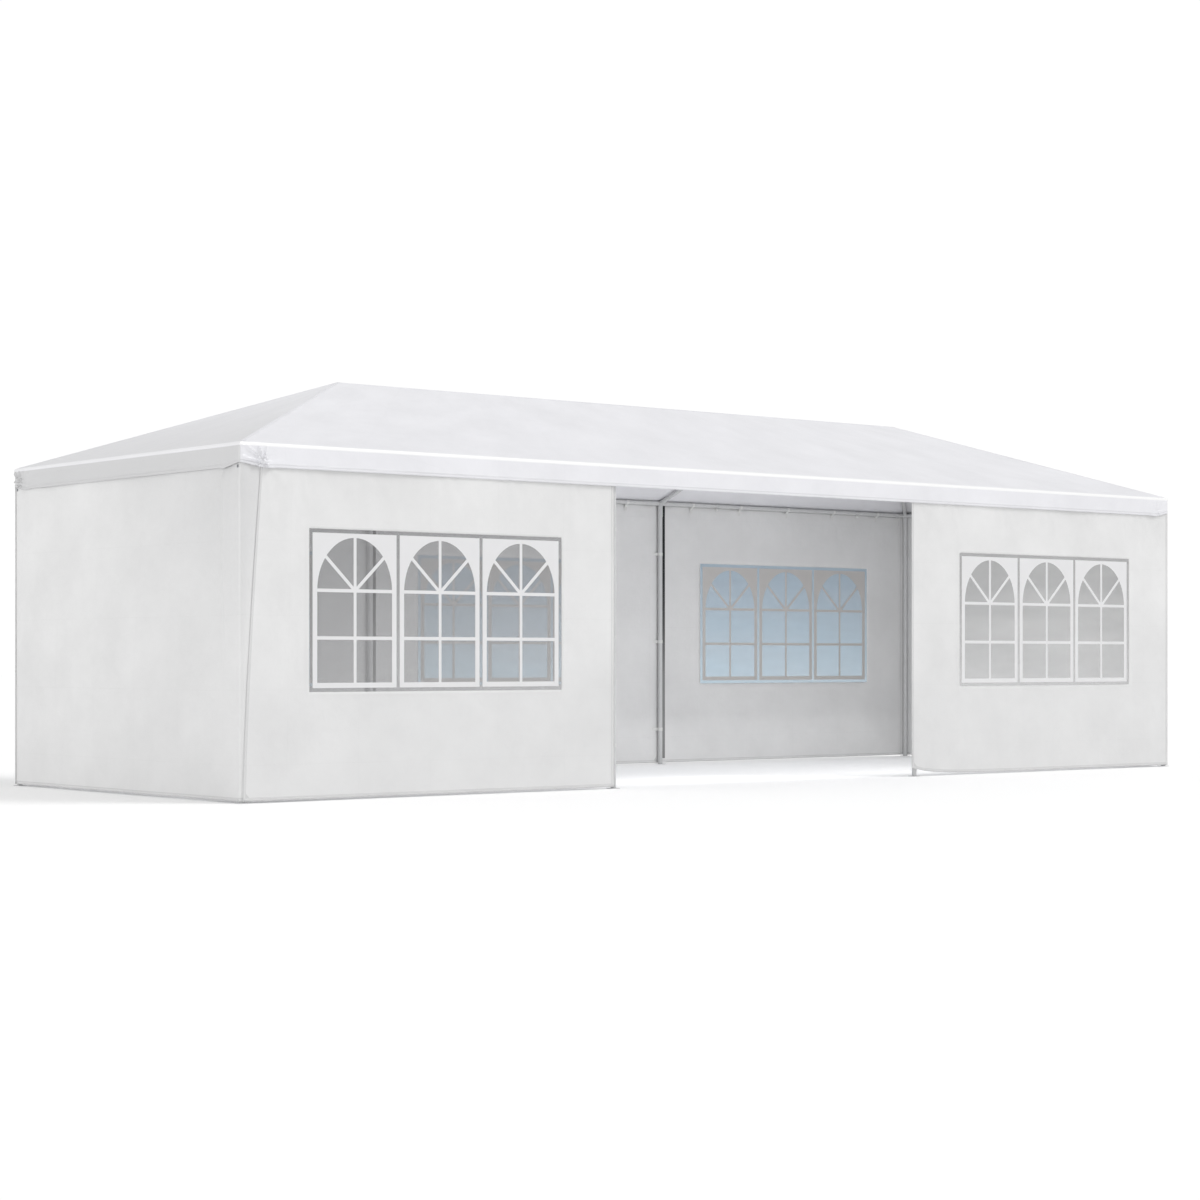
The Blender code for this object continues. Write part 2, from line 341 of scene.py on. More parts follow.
class Wire:
    """A shader socket: sums and products of it add Math nodes, and node() adds any other node."""

    def __init__(self, tree, socket=None):
        self.tree = tree
        self.socket = socket

    def node(self, kind, settings=None, inputs=None, output=0):
        """Adds a node of that type, sets it up, fills or links its sockets, and returns one output."""
        made = self.tree.nodes.new(kind)
        for name, value in (settings or {}).items():
            setattr(made, name, value)
        for name, value in (inputs or {}).items():
            if isinstance(value, Wire):
                self.tree.links.new(value.socket, made.inputs[name])
            else:
                made.inputs[name].default_value = value
        return Wire(self.tree, made.outputs[output] if made.outputs else None)

    def sum_node(self, operation, *values):
        return self.node("ShaderNodeMath", {"operation": operation}, dict(enumerate(values)))

    def __add__(self, other):
        return self.sum_node("ADD", self, other)

    def __mul__(self, other):
        return self.sum_node("MULTIPLY", self, other)

    def __sub__(self, other):
        return self.sum_node("SUBTRACT", self, other)

    def __rsub__(self, other):
        return self.sum_node("SUBTRACT", other, self)

    def __truediv__(self, other):
        return self.sum_node("DIVIDE", self, other)

    def __pow__(self, other):
        return self.sum_node("POWER", self, other)

    def __lt__(self, other):
        return self.sum_node("LESS_THAN", self, other)

    def __abs__(self):
        return self.sum_node("ABSOLUTE", self)

    __radd__ = __add__
    __rmul__ = __mul__

    def part(self):
        """What is left after the whole number."""
        return self.sum_node("FRACT", self)

    def sine(self):
        return self.sum_node("SINE", self)

    def floor(self):
        return self.sum_node("FLOOR", self)

    def place(self):
        """The place on the piece, in metres."""
        return self.node("ShaderNodeTexCoord", None, None, "Object")

    def attribute(self, name):
        """A vector that the mesh carries under that name."""
        return self.node("ShaderNodeAttribute", {"attribute_name": name}, None, "Vector")

    def noise(self, place, scale, detail=2.0, roughness=0.5):
        """Soft noise about 0.5 over a place."""
        values = {"Vector": place, "Scale": scale, "Detail": detail, "Roughness": roughness}
        return self.node("ShaderNodeTexNoise", None, values)

    def span(self, value, low, high, start=0.0, stop=1.0):
        """Goes from start to stop, and no further, as value goes from low to high."""
        return self.node("ShaderNodeMapRange", None, {"Value": value, 1: low, 2: high, 3: start, 4: stop})

    def blend(self, share, first, second):
        """A colour that goes from first to second as share goes from 0 to 1."""
        return self.node("ShaderNodeMix", {"data_type": "RGBA"}, {0: share, 6: first, 7: second}, 2)

    def parts_of(self, place):
        """The X, Y and Z of a vector."""
        split = self.node("ShaderNodeSeparateXYZ", None, {0: place})
        outputs = split.socket.node.outputs
        return tuple(Wire(self.tree, outputs[axis]) for axis in ("X", "Y", "Z"))

    def bump(self, height):
        """A normal from a height in metres."""
        return self.node("ShaderNodeBump", None, {"Strength": 1.0, "Distance": 1.0, "Height": height})


def new_material(name, sockets_from):
    """A material with one Principled shader, whose sockets come from a function of a Wire."""
    material = bpy.data.materials.new(name)
    material.use_nodes = True
    material.node_tree.nodes.clear()
    wire = Wire(material.node_tree)
    shader = wire.node("ShaderNodeBsdfPrincipled", None, sockets_from(wire))
    wire.node("ShaderNodeOutputMaterial", None, {"Surface": shader})
    return material


def shade(colour, factor):
    """A colour with its channels times a factor, as a socket value."""
    return (*(min(1.0, channel * factor) for channel in colour), 1.0)


def weave_crowns(across, down, width):
    """Crossed tapes that go over and under each other like a chessboard, as a height from 0 to 1."""
    column = across / width
    row = down / width
    over = ((column.floor() + row.floor()) / 2.0).part() * 2.0
    return over * (column.part() * math.pi).sine() + (1.0 - over) * (row.part() * math.pi).sine()


def packing_creases(wire, cut, across, down):
    """Creases from the bag, straight and half a metre apart, fading in and out."""
    width = 0.002
    patches = wire.noise(cut, 1.3)
    creases = 0.0
    for place, pitch in ((across, 0.56), (down, 0.47)):
        distance = abs((place / pitch).part() - 0.5) * pitch
        creases = creases + (distance < width) * patches
    return creases


def hem_stitches(inset, along, hem_width):
    """Two lines of stitches in a hem, from the distance to the edge and the place along it."""
    pitch, share, half_width, margin = 0.0065, 0.62, 0.0009, 0.005
    dashes = (along / pitch).part() < share
    stitches = 0.0
    for line in (margin, hem_width - margin):
        stitches = stitches + (abs(inset - line) < half_width) * dashes
    return stitches


def cloth_material(name, colour, cloth, shine, crumple_height):
    """Coated woven tape cloth: crossed tapes, soft mottling, packing creases and two lines of stitches.

    The hem attribute holds the distance from the edge, the place along it, and painted light: 1 is full
    painted shade in grey and -1 is a painted highlight in white along a fold.
    """
    tape_height, crease_depth, stitch_height = 0.00005, 0.0005, 0.0005

    def sockets(wire):
        cut = wire.attribute("cut")
        across, down, _ = wire.parts_of(cut)
        inset, along, shade_and_highlight_share = wire.parts_of(wire.attribute("hem"))
        crown = weave_crowns(across, down, cloth.tape_width)
        creases = packing_creases(wire, cut, across, down)
        stitches = hem_stitches(inset, along, cloth.hem_width)
        crumple = wire.noise(cut, 9.0, 3.0, 0.55)
        mottle = wire.span(wire.noise(cut, 1.6, 5.0, 0.62), 0.34, 0.66)
        # Painted shade in the dip along the hem's inner edge
        seam_groove_shade = 1.0 - wire.span(abs(inset - cloth.hem_width), 0.001, 0.005)

        relief = crown * tape_height + crumple * crumple_height
        relief = relief - creases * crease_depth + stitches * stitch_height
        tone = wire.blend(mottle, shade(colour, 0.955), shade(colour, 1.035))
        # Painted shade darkens the packing creases and the dip along the hem
        for share, factor in ((creases * 0.25, 0.86), (seam_groove_shade * 0.42, 0.55), (stitches * 0.6, 0.72)):
            tone = wire.blend(share, tone, shade(colour, factor))
        # Painted shade turns the cloth grey where the share is positive, and a painted highlight turns it
        # white where it is negative
        grey = colour[1] * cloth.painted_shade_tone
        tone = wire.blend(shade_and_highlight_share, tone, (grey, grey, grey * 1.01, 1.0))
        tone = wire.blend(0.0 - shade_and_highlight_share, tone, (cloth.fold_highlight_white,) * 3 + (1.0,))
        return {
            "Base Color": tone,
            "Roughness": 0.24 + crumple * 0.16,
            "Specular IOR Level": shine,
            "Sheen Weight": 0.05,
            "Normal": wire.bump(relief),
        }

    return new_material(name, sockets)


def wall_material(cloth):
    """The walls' cloth, made once."""
    name = "woven_wall"
    made = bpy.data.materials.get(name)
    return made or cloth_material(name, cloth.wall_colour, cloth, shine=0.42, crumple_height=0.0040)


def film_material(name, tint, veil):
    """Clear soft film with a tint and slow waves, paler lower down as painted light, with faint slanting
    streaks of painted sheen.
    """
    streak_turn = (0, math.radians(32), 0)
    streak_scale = (0.5, 1, 3.4)

    def sockets(wire):
        place = wire.place()
        _, _, height = wire.parts_of(place)
        lower = wire.span(height, WINDOW_TOP, WINDOW_FOOT)
        slanted = wire.node(
            "ShaderNodeMapping", None, {"Vector": place, "Rotation": streak_turn, "Scale": streak_scale}
        )
        sheen_streaks = wire.noise(slanted, 1.6, 2.0, 0.45)
        wave = wire.noise(place, 3.1, 1.0)
        ripples = wire.noise(place, 11.0, 2.0)
        return {
            # Painted light: paler and clearer lower down, and paler and more veiled along the slanting
            # streaks of painted sheen
            "Base Color": wire.blend(sheen_streaks * 0.45 + lower * 0.55, shade(tint, 0.66), shade(tint, 1.26)),
            "Roughness": 0.12 + ripples * 0.10,
            "Specular IOR Level": 0.5,
            "Alpha": veil * (0.90 + sheen_streaks * 0.44 - lower * 0.24),
            "Normal": wire.bump(wave * 0.006 + ripples * 0.0008),
        }

    return new_material(name, sockets)


def print_material(name, colour):
    """Matt white print, a little uneven."""

    def sockets(wire):
        place = wire.place()
        patchy = wire.noise(place, 6.0, 3.0)
        grain = wire.noise(place, 900.0, 1.0)
        return {
            "Base Color": wire.blend(patchy, shade(colour, 0.97), shade(colour, 1.02)),
            "Roughness": 0.36 + patchy * 0.1,
            "Normal": wire.bump(patchy * 0.0006 + grain * 0.00003),
        }

    return new_material(name, sockets)


def paint_material(name, colour):
    """Powder coat with its orange peel, greyer where it has been handled and near the ground."""
    scuffed_height, scuffed_share = 0.25, 0.22

    def sockets(wire):
        place = wire.place()
        _, _, height = wire.parts_of(place)
        peel = wire.noise(place, 420.0, 2.0)
        scuffs = wire.noise(place, 26.0, 5.0, 0.7) ** 3.0
        low = wire.span(height, 0.0, scuffed_height, scuffed_share, 0.0)
        return {
            "Base Color": wire.blend(scuffs * 0.5 + low, shade(colour, 1.0), shade(colour, 0.62)),
            "Roughness": 0.30 + scuffs * 0.5,
            "Coat Weight": 0.25,
            "Coat Roughness": 0.15,
            "Normal": wire.bump(peel * 0.00012),
        }

    return new_material(name, sockets)


def webbing_material(name, colour):
    """Ribbed webbing."""
    rib_pitch = 0.0016

    def sockets(wire):
        place = wire.place()
        x, y, z = wire.parts_of(place)
        ribs = ((x + y + z) * (math.tau / rib_pitch)).sine()
        worn = wire.noise(place, 60.0, 3.0)
        return {
            "Base Color": wire.blend(worn, shade(colour, 0.90), shade(colour, 1.05)),
            "Roughness": 0.82,
            "Sheen Weight": 0.2,
            "Normal": wire.bump(ribs * 0.00008 + worn * 0.0002),
        }

    return new_material(name, sockets)


def seam_shadow_strip_material(name, colour, shadow_dark_above, shadow_faded_below):
    """A near-black strip that is the painted shadow of a seam, with painted shade dark above one height and
    faded to grey below another, and a bristly face.
    """
    grey = (0.34, 0.34, 0.34, 1)

    def sockets(wire):
        place = wire.place()
        _, _, height = wire.parts_of(place)
        faded = wire.span(height, shadow_dark_above, shadow_faded_below)
        bristles = wire.noise(place, 700.0, 2.0)
        # Painted shade: darkest high up, fading to grey lower down
        base = wire.blend(faded ** 2.0, shade(colour, 1.0), grey)
        return {
            "Base Color": wire.blend(bristles * 0.4, base, shade(colour, 2.5)),
            "Roughness": 0.9,
            "Normal": wire.bump(bristles * 0.0006),
        }

    return new_material(name, sockets)


def plain_material(name, colour, roughness, metallic=0.0, grain=400.0):
    """Moulded plastic or plated metal with a fine grain."""

    def sockets(wire):
        place = wire.place()
        speckle = wire.noise(place, grain, 2.0)
        soft = wire.noise(place, 40.0, 2.0)
        return {
            "Base Color": wire.blend(soft, shade(colour, 0.9), shade(colour, 1.08)),
            "Roughness": roughness + speckle * 0.12,
            "Metallic": metallic,
            "Normal": wire.bump(speckle * 0.00004),
        }

    return new_material(name, sockets)


def floor_material(name, colour, glow):
    """Plain pale floor with a faint cloudiness and a little light of its own."""

    def sockets(wire):
        cloudy = wire.noise(wire.place(), 0.35, 2.0)
        return {
            "Base Color": wire.blend(cloudy, shade(colour, 0.99), shade(colour, 1.01)),
            "Roughness": 0.9,
            "Emission Color": (*colour, 1),
            "Emission Strength": glow,
        }

    return new_material(name, sockets)


def smooth(value):
    """A step from 0 to 1 with soft ends, for numbers and arrays."""
    value = np.clip(value, 0.0, 1.0)
    return value * value * (3.0 - 2.0 * value)


def bell(distance, width):
    """A soft hump that is 1 at no distance and has almost ended at twice its width."""
    return np.exp(-(distance / width) ** 2)


def ripple(across, down, seed):
    """Smooth noise from -1 to 1 over arrays of places."""
    across, down = np.broadcast_arrays(across, down)
    values = [noise.noise(Vector((a, d, seed))) for a, d in zip(across.ravel(), down.ravel())]
    return np.array(values).reshape(across.shape)


def puckers(across, down, reach, folds, turn):
    """Ridges that fan out from a point: how far they reach, how many a full turn has, and their turn."""
    distance = np.hypot(across, down)
    angle = np.arctan2(down, across)
    ridges = 1.5 * np.maximum(np.cos(folds * angle + turn), 0.0) ** 1.5 - 0.4
    return np.exp(-distance / reach) * distance / (distance + 0.02) * ridges


def steps_through(marks, step):
    """Places that pass through every mark, at most a step apart."""
    places = [np.array(marks[:1], float)]
    for start, stop in zip(marks, marks[1:]):
        count = max(1, math.ceil((stop - start) / step - 1e-6))
        places.append(np.linspace(start, stop, count + 1)[1:])
    return np.concatenate(places)


def side_of(wall):
    """The side of the tent that a wall hangs on."""
    return wall.split("_")[2 if wall in END_WALLS else 1]


def points_on(side, along, out, height):
    """Points at places along a side, out from the tent's middle, and up."""
    along, out, height = np.broadcast_arrays(along, out, height)
    way, outward = (np.array(direction) for direction in WAYS[side])
    return along[..., None] * way + out[..., None] * outward + height[..., None] * np.array(UP)


def add_piece(mesh, material):
    """Links a mesh as a piece of the tent, with its material."""
    piece = bpy.data.objects.new(mesh.name, mesh)
    bpy.context.scene.collection.objects.link(piece)
    mesh.materials.append(material)
    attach(piece, BODY)
    return piece


def sheet_mesh(name, patches):
    """One mesh from grids of points, with the place in the flat cut and from the hem on its corners."""
    points, cuts, hems, faces = [], [], [], []
    start = 0
    for grid, cut, hem, keep in patches:
        rows, columns = grid.shape[:2]
        index = start + np.arange(rows * columns).reshape(rows, columns)
        quads = np.stack([index[:-1, :-1], index[1:, :-1], index[1:, 1:], index[:-1, 1:]], -1)
        faces.append(quads[keep])
        points.append(grid.reshape(-1, 3))
        cuts.append(cut.reshape(-1, cut.shape[-1]))
        hems.append(hem.reshape(-1, hem.shape[-1]))
        start += rows * columns
    faces = np.concatenate(faces)
    mesh = bpy.data.meshes.new(name)
    mesh.from_pydata(np.concatenate(points).tolist(), [], faces.tolist())
    for attribute, values in (("cut", np.concatenate(cuts)), ("hem", np.concatenate(hems))):
        layer = mesh.attributes.new(attribute, "FLOAT_VECTOR", "CORNER")
        at_corners = np.zeros((faces.size, 3), np.float32)
        at_corners[:, : values.shape[1]] = values[faces.ravel()]
        layer.data.foreach_set("vector", at_corners.ravel())
    shape = bmesh.new()
    shape.from_mesh(mesh)
    bmesh.ops.remove_doubles(shape, verts=shape.verts, dist=SHEET_MERGE)
    bmesh.ops.delete(shape, geom=[v for v in shape.verts if not v.link_faces], context="VERTS")
    shape.to_mesh(mesh)
    shape.free()
    mesh.shade_smooth()
    mesh.set_sharp_from_angle(angle=SHEET_SHARP)
    return mesh


def thicken(piece, thickness):
    """Gives a sheet its thickness, half to each side."""
    solidify = piece.modifiers.new("thickness", "SOLIDIFY")
    solidify.thickness = thickness
    solidify.offset = 0.0


def hem_marks(start, stop, hem_width):
    """Places that a grid passes through at the hems of a panel, at its start and at its stop."""
    first = [start, start + hem_width - HALF_STEP, start + hem_width + HALF_STEP]
    last = [stop - hem_width - HALF_STEP, stop - hem_width + HALF_STEP, stop]
    return first, last


def hem_fields(across, height, left, right, top, bottom):
    """Distance from the nearest edge of a panel, and the place along that edge."""
    sides = np.minimum(across - left, right - across)
    ends = np.minimum(top - height, height - bottom)
    along = np.where(sides < ends, height, across)
    return np.stack([np.minimum(sides, ends), along], -1)


def hem_profile(inset, cloth):
    """How far the cloth stands out at a distance from its edge: the hem, with a soft step at its seam."""
    return cloth.hem_lift * (1.0 - smooth((inset - cloth.hem_width + HALF_STEP) / STEP))


def fold_shade(out, across, height):
    """Painted shade and painted highlight along a wall's folds: grey where they face down and to the left,
    pale where they face up.
    """
    strength, most = 0.28, 0.6
    aside = np.gradient(out, axis=1) / np.gradient(across, axis=1)
    upward = np.gradient(out, axis=0) / np.gradient(height, axis=0)
    return strength * np.clip(0.5 * aside + 0.8 * upward, -most, most)


class RoofPanel:
    """One side of the roof cover, from ridge to valance hem, as a grid of points."""

    # Where each side starts in the noise of its waves
    wave_starts = {"front": 0.0, "right": 11.0, "back": 17.0, "left": 31.0}
    # How strongly the valance is gathered at the start and at the stop of each side
    gather_shares = {"front": (1.0, 0.25), "right": (0.0, 1.0), "back": (1.0, 1.0), "left": (1.0, 0.0)}
    # Length of cloth in the turn over the eave, for each metre of its size
    turn_length = 1.6

    def __init__(self, side, cloth):
        self.side = side
        self.cloth = cloth
        self.is_end = side in ENDS
        self.half = COVER_Y if self.is_end else COVER_X
        self.reach = COVER_X if self.is_end else COVER_Y
        self.depth = FOLD_Z - COVER_BOTTOM
        self.along = self.graded_places()
        self.corner = self.half - np.abs(self.along)
        self.top_along, self.top_out = self.ridge_line()
        self.run = np.sqrt(
            (self.along - self.top_along) ** 2 + (self.reach - self.top_out) ** 2 + (COVER_TOP - FOLD_Z) ** 2
        )

    def graded_places(self):
        """Places along the side: close together by the corners and wider between them."""
        fine, coarse = 0.008, 0.045
        rounded, near = 0.024, 0.34
        by_corner = np.concatenate([np.arange(0, rounded, fine / 2), np.arange(rounded, near, fine)])
        between = steps_through([near - self.half, self.half - near], coarse)
        return np.concatenate([by_corner - self.half, between, self.half - by_corner[::-1]])

    def ridge_line(self):
        """Where each column starts: its place along the side and out from the middle."""
        if self.is_end:
            return np.zeros_like(self.along), np.full_like(self.along, RIDGE_X)
        return self.along * RIDGE_X / self.half, np.zeros_like(self.along)

    def slope_rows(self):
        """Points of the slope from the ridge to the start of the eave fold, and their distance down it."""
        count = 26
        closer_by_eave = (1.0 - np.linspace(1.0, 0.0, count) ** 1.5)[:, None]
        share = closer_by_eave * (1.0 - self.cloth.fold_radius / self.run)
        along = self.top_along + (self.along - self.top_along) * share
        out = self.top_out + (self.reach - self.top_out) * share
        height = COVER_TOP + (FOLD_Z - COVER_TOP) * share
        height = height - self.sag(along, share) + self.eave_ripples(share)
        return points_on(self.side, along, out, height), share * self.run

    def sag(self, along, share):
        """How far the cover hangs between the rafters, at a share of the way from ridge to eave."""
        if self.is_end:
            edge = np.maximum(self.half * share, 1e-6)
            bay, width = 1.0 - (along / edge) ** 2, 2.0 * edge
        else:
            hip = RIDGE_X + (self.half - RIDGE_X) * share
            middle = (hip + BAY_X) / 2
            reach = (hip - BAY_X) / 2
            inner = 1.0 - (along / BAY_X) ** 2
            outer = 1.0 - ((np.abs(along) - middle) / reach) ** 2
            bay = np.where(np.abs(along) < BAY_X, inner, outer)
            width = np.where(np.abs(along) < BAY_X, 2.0 * BAY_X, 2.0 * reach)
        deepest = self.cloth.roof_sag * np.clip(bay, 0, 1)
        return deepest * 4.0 * share * (1.0 - share) * width / (2.0 * BAY_X)

    def eave_ripples(self, share):
        """Faint ripples where the cover is drawn over the eave rail, and stronger ones by its corners."""
        from_eave = (1.0 - share) * self.run
        ends_at_fold = 1.0 - smooth(share * 50 - 48.8)
        at_eave = np.exp(-from_eave / 0.16) * smooth(self.corner / 0.2) * ends_at_fold
        eave = EAVE_RIPPLE * at_eave * ripple(self.along * 5.5, from_eave * 1.5, 4.0 + self.reach)
        from_corner = np.hypot(self.corner, from_eave)
        at_corner = np.exp(-from_corner / 0.22) * smooth(self.corner / 0.05) * smooth(from_eave / 0.03)
        slanted = ripple(self.along * 16 + from_eave * 9, from_eave * 5, 6.0 + self.reach)
        return eave + CORNER_RIPPLE * at_corner * slanted

    def fold_rows(self):
        """The soft turn over the eave, from slope to valance, a curve pulled towards the eave line."""
        count = 5
        size = self.cloth.fold_radius
        up_along = self.along + (self.top_along - self.along) * size / self.run
        up_out = self.reach + (self.top_out - self.reach) * size / self.run
        up_height = FOLD_Z + (COVER_TOP - FOLD_Z) * size / self.run
        share = np.linspace(0, 1, count + 2)[1:-1, None]
        first, second, third = (1 - share) ** 2, 2 * share * (1 - share), share ** 2
        along = first * up_along + (second + third) * self.along
        out = first * up_out + (second + third) * self.reach
        height = first * up_height + second * FOLD_Z + third * (FOLD_Z - size)
        return points_on(self.side, along, out, height), self.run - size + self.turn_length * size * share

    def valance_rows(self):
        """The valance under the fold with its hem, drawn up by the corners and slack beside them."""
        cloth = self.cloth
        _, hem = hem_marks(0.0, self.depth, cloth.hem_width)
        deep = steps_through([cloth.fold_radius, *hem], 0.0095)[:, None]
        lift = hem_profile(self.depth - deep, cloth)
        loose = (deep / self.depth) ** 1.3
        free = smooth(self.corner / 0.12)
        flare = 0.006 * free * (deep / self.depth) ** 2
        drawn_up = 0.024 * bell(self.corner, 0.10) * loose
        slack = 0.005 * bell(self.corner - 0.19, 0.05) * loose
        height = FOLD_Z - deep - slack + drawn_up
        aside, back = self.round_corner(deep)
        along = self.along * (self.half + lift) / self.half - aside * np.sign(self.along)
        out = self.reach + lift + self.valance_moves(deep, loose, free) + flare - back
        return points_on(self.side, along, out, height), deep

    def valance_moves(self, deep, loose, free):
        """How far the valance moves out: waves, fine ripples and gathers, stopped short of the wall."""
        start = self.wave_starts[self.side]
        broad = ripple(self.along * 1.7 + start, deep * 2.0, 1.0)
        slanted = ripple(self.along * 5.0 + start - deep * 9.0, deep * 6.0, 2.0)
        fine = ripple(self.along * 7.0 + deep * 34.0, deep * 22.0, 3.0)
        out = self.cloth.valance_wave * loose * (broad + 0.35 * slanted) * free
        out = out + VALANCE_RIPPLE * free * loose ** 0.4 * fine
        out = out + self.gathers(deep)
        room = self.reach - (LEG_X if self.is_end else LEG_Y) - WALL_OUT - 0.0036
        return np.where(out < 0, -room * np.tanh(-out / room), out)

    def round_corner(self, deep):
        """How far the valance's corner is drawn in, along the side and towards the tent, to make it round."""
        radius = self.cloth.corner_radius
        near = np.minimum(self.corner, radius)
        turn = (1.0 - near / radius) * math.pi / 4
        grown = smooth(deep / 0.03)
        return (radius - near - radius * np.sin(turn)) * grown, radius * (1.0 - np.cos(turn)) * grown

    def gathers(self, deep):
        """Puckers round the tie at the corners, where the valance is drawn together over the leg."""
        start, stop = self.gather_shares[self.side]
        strength = self.cloth.gather * np.where(self.along < 0, start, stop)
        knot_aside = 0.11 if self.is_end else 0.165
        knot_deep = 0.112
        across = self.corner - knot_aside
        fan = puckers(across, knot_deep - deep, reach=0.12, folds=10, turn=math.radians(20))
        near = np.minimum(self.corner / 0.02, 1.0) * (1.0 - smooth((across + 0.01) / 0.06) * 0.75)
        near = near * smooth((0.36 - self.corner) / 0.12) * smooth((deep + 0.006) / 0.03)
        bulge = bell(across - 0.035, 0.028) - 0.5 * bell(across + 0.02, 0.02)
        return strength * (fan * near + 0.6 * bulge * (deep / self.depth) ** 3)

    def patch(self):
        """The panel's points, places in the flat cut and distances from the hem."""
        slope, slope_run = self.slope_rows()
        fold, fold_run = self.fold_rows()
        valance, deep = self.valance_rows()
        points = np.concatenate([slope, fold, valance])
        edge_run = slope_run[-1] + self.turn_length * self.cloth.fold_radius
        down = np.concatenate([slope_run, fold_run, edge_run + deep])
        along = np.broadcast_to(self.along, down.shape)
        # Painted light: painted shade grows down the end slopes, is full on the end valances and faint on the
        # long ones, and the eave fold carries a painted highlight, fainter at the ends
        slope_shade, fold_highlight, valance_shade = (0.60, -0.5, 1.0) if self.is_end else (0.0, -1.0, 0.10)
        painted_shade_and_highlight = np.full_like(down, valance_shade)
        painted_shade_and_highlight[:len(slope)] = slope_shade * smooth(slope_run / slope_run[-1])
        painted_shade_and_highlight[len(slope):len(slope) + len(fold)] = fold_highlight
        cut = np.stack([along, down], -1)
        hem = np.stack([down[-1] - down, along, painted_shade_and_highlight], -1)
        keep = np.ones((points.shape[0] - 1, points.shape[1] - 1), bool)
        return points, cut, hem, keep


def seam_tape_patch(start, stop, first, second, cloth):
    """A tape bent over a ridge or hip from start to stop, lying on two slopes with these outward normals."""
    lift, edge_share, count = 0.0012, 0.6, 60
    half = cloth.seam_width / 2
    run = (stop - start).length
    direction = (stop - start) / run
    across_first = direction.cross(first).normalized()
    across_second = -direction.cross(second).normalized()
    if across_first.dot(second - first) > 0:
        across_first, across_second = -across_first, -across_second
    profile = [
        across_first * half + first * lift * edge_share,
        across_first * half * 0.5 + first * lift,
        (first + second).normalized() * lift,
        across_second * half * 0.5 + second * lift,
        across_second * half + second * lift * edge_share,
    ]
    profile = np.array([list(point) for point in profile])
    places = half * np.array([-1.0, -0.5, 0.0, 0.5, 1.0])
    share = np.linspace(0, 1, count)[:, None]
    middle = np.array(start) + share * np.array(stop - start)
    points = middle[:, None, :] + profile[None, :, :]
    cut = np.stack(np.broadcast_arrays(places, share * run), -1)
    hem = np.stack(np.broadcast_arrays(half - np.abs(places), share * run), -1)
    return points, cut, hem, np.ones((count - 1, len(places) - 1), bool)


def slope_normal(side):
    """The outward normal of a side's slope."""
    _, out = WAYS[side]
    reach = COVER_X - RIDGE_X if side in ENDS else COVER_Y
    return (out * (COVER_TOP - FOLD_Z) + UP * reach).normalized()


def ridge_and_hips():
    """Start, stop and the two sides of the ridge and of the four hips, which end short of the corners."""
    short = 0.045
    lines = [(Vector((-RIDGE_X, 0, COVER_TOP)), Vector((RIDGE_X, 0, COVER_TOP)), "front", "back")]
    for end, x in (("left", -1), ("right", 1)):
        for side, y in (("front", -1), ("back", 1)):
            top = Vector((x * RIDGE_X, 0, COVER_TOP))
            corner = Vector((x * COVER_X, y * COVER_Y, FOLD_Z))
            lines.append((top, corner + (top - corner).normalized() * short, side, end))
    return lines


class MARQUEE_OT_roof_cover(bpy.types.Operator):
    """Sew the roof cover with its valance, and the tapes over its ridge and hips"""

    bl_idname = "marquee.roof_cover"
    bl_label = "Roof cover"

    def execute(self, context):
        cloth = context.scene.marquee_cloth
        material = cloth_material(
            "woven_cover", cloth.roof_colour, cloth, shine=0.70, crumple_height=0.0022
        )
        patches = [RoofPanel(side, cloth).patch() for side in WAYS]
        cover = add_piece(sheet_mesh("roof_cover", patches), material)
        thicken(cover, cloth.thickness)
        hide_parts(*ROOF_PANELS)

        tapes = [
            seam_tape_patch(start, stop, slope_normal(first), slope_normal(second), cloth)
            for start, stop, first, second in ridge_and_hips()
        ]
        seams = add_piece(sheet_mesh("roof_seam_tapes", tapes), material)
        thicken(seams, cloth.thickness * 0.6)

        slope = math.hypot(COVER_Y, COVER_TOP - FOLD_Z)
        end_slope = math.hypot(COVER_X - RIDGE_X, COVER_TOP - FOLD_Z)
        valance = FOLD_Z - COVER_BOTTOM
        area = 2 * slope * (COVER_X + RIDGE_X) + 2 * end_slope * COVER_Y + 4 * valance * (COVER_X + COVER_Y)
        flat = (2 * (slope + valance), 2 * (RIDGE_X + end_slope + valance))
        return {"FINISHED"}


def slanted_edge(height):
    """The left edge of the front left wall, drawn towards the corner leg lower down."""
    foot, drawn = -LEG_X - 0.01, 0.13
    return foot + drawn * (np.clip(height, 0, None) / COVER_BOTTOM) ** 1.4


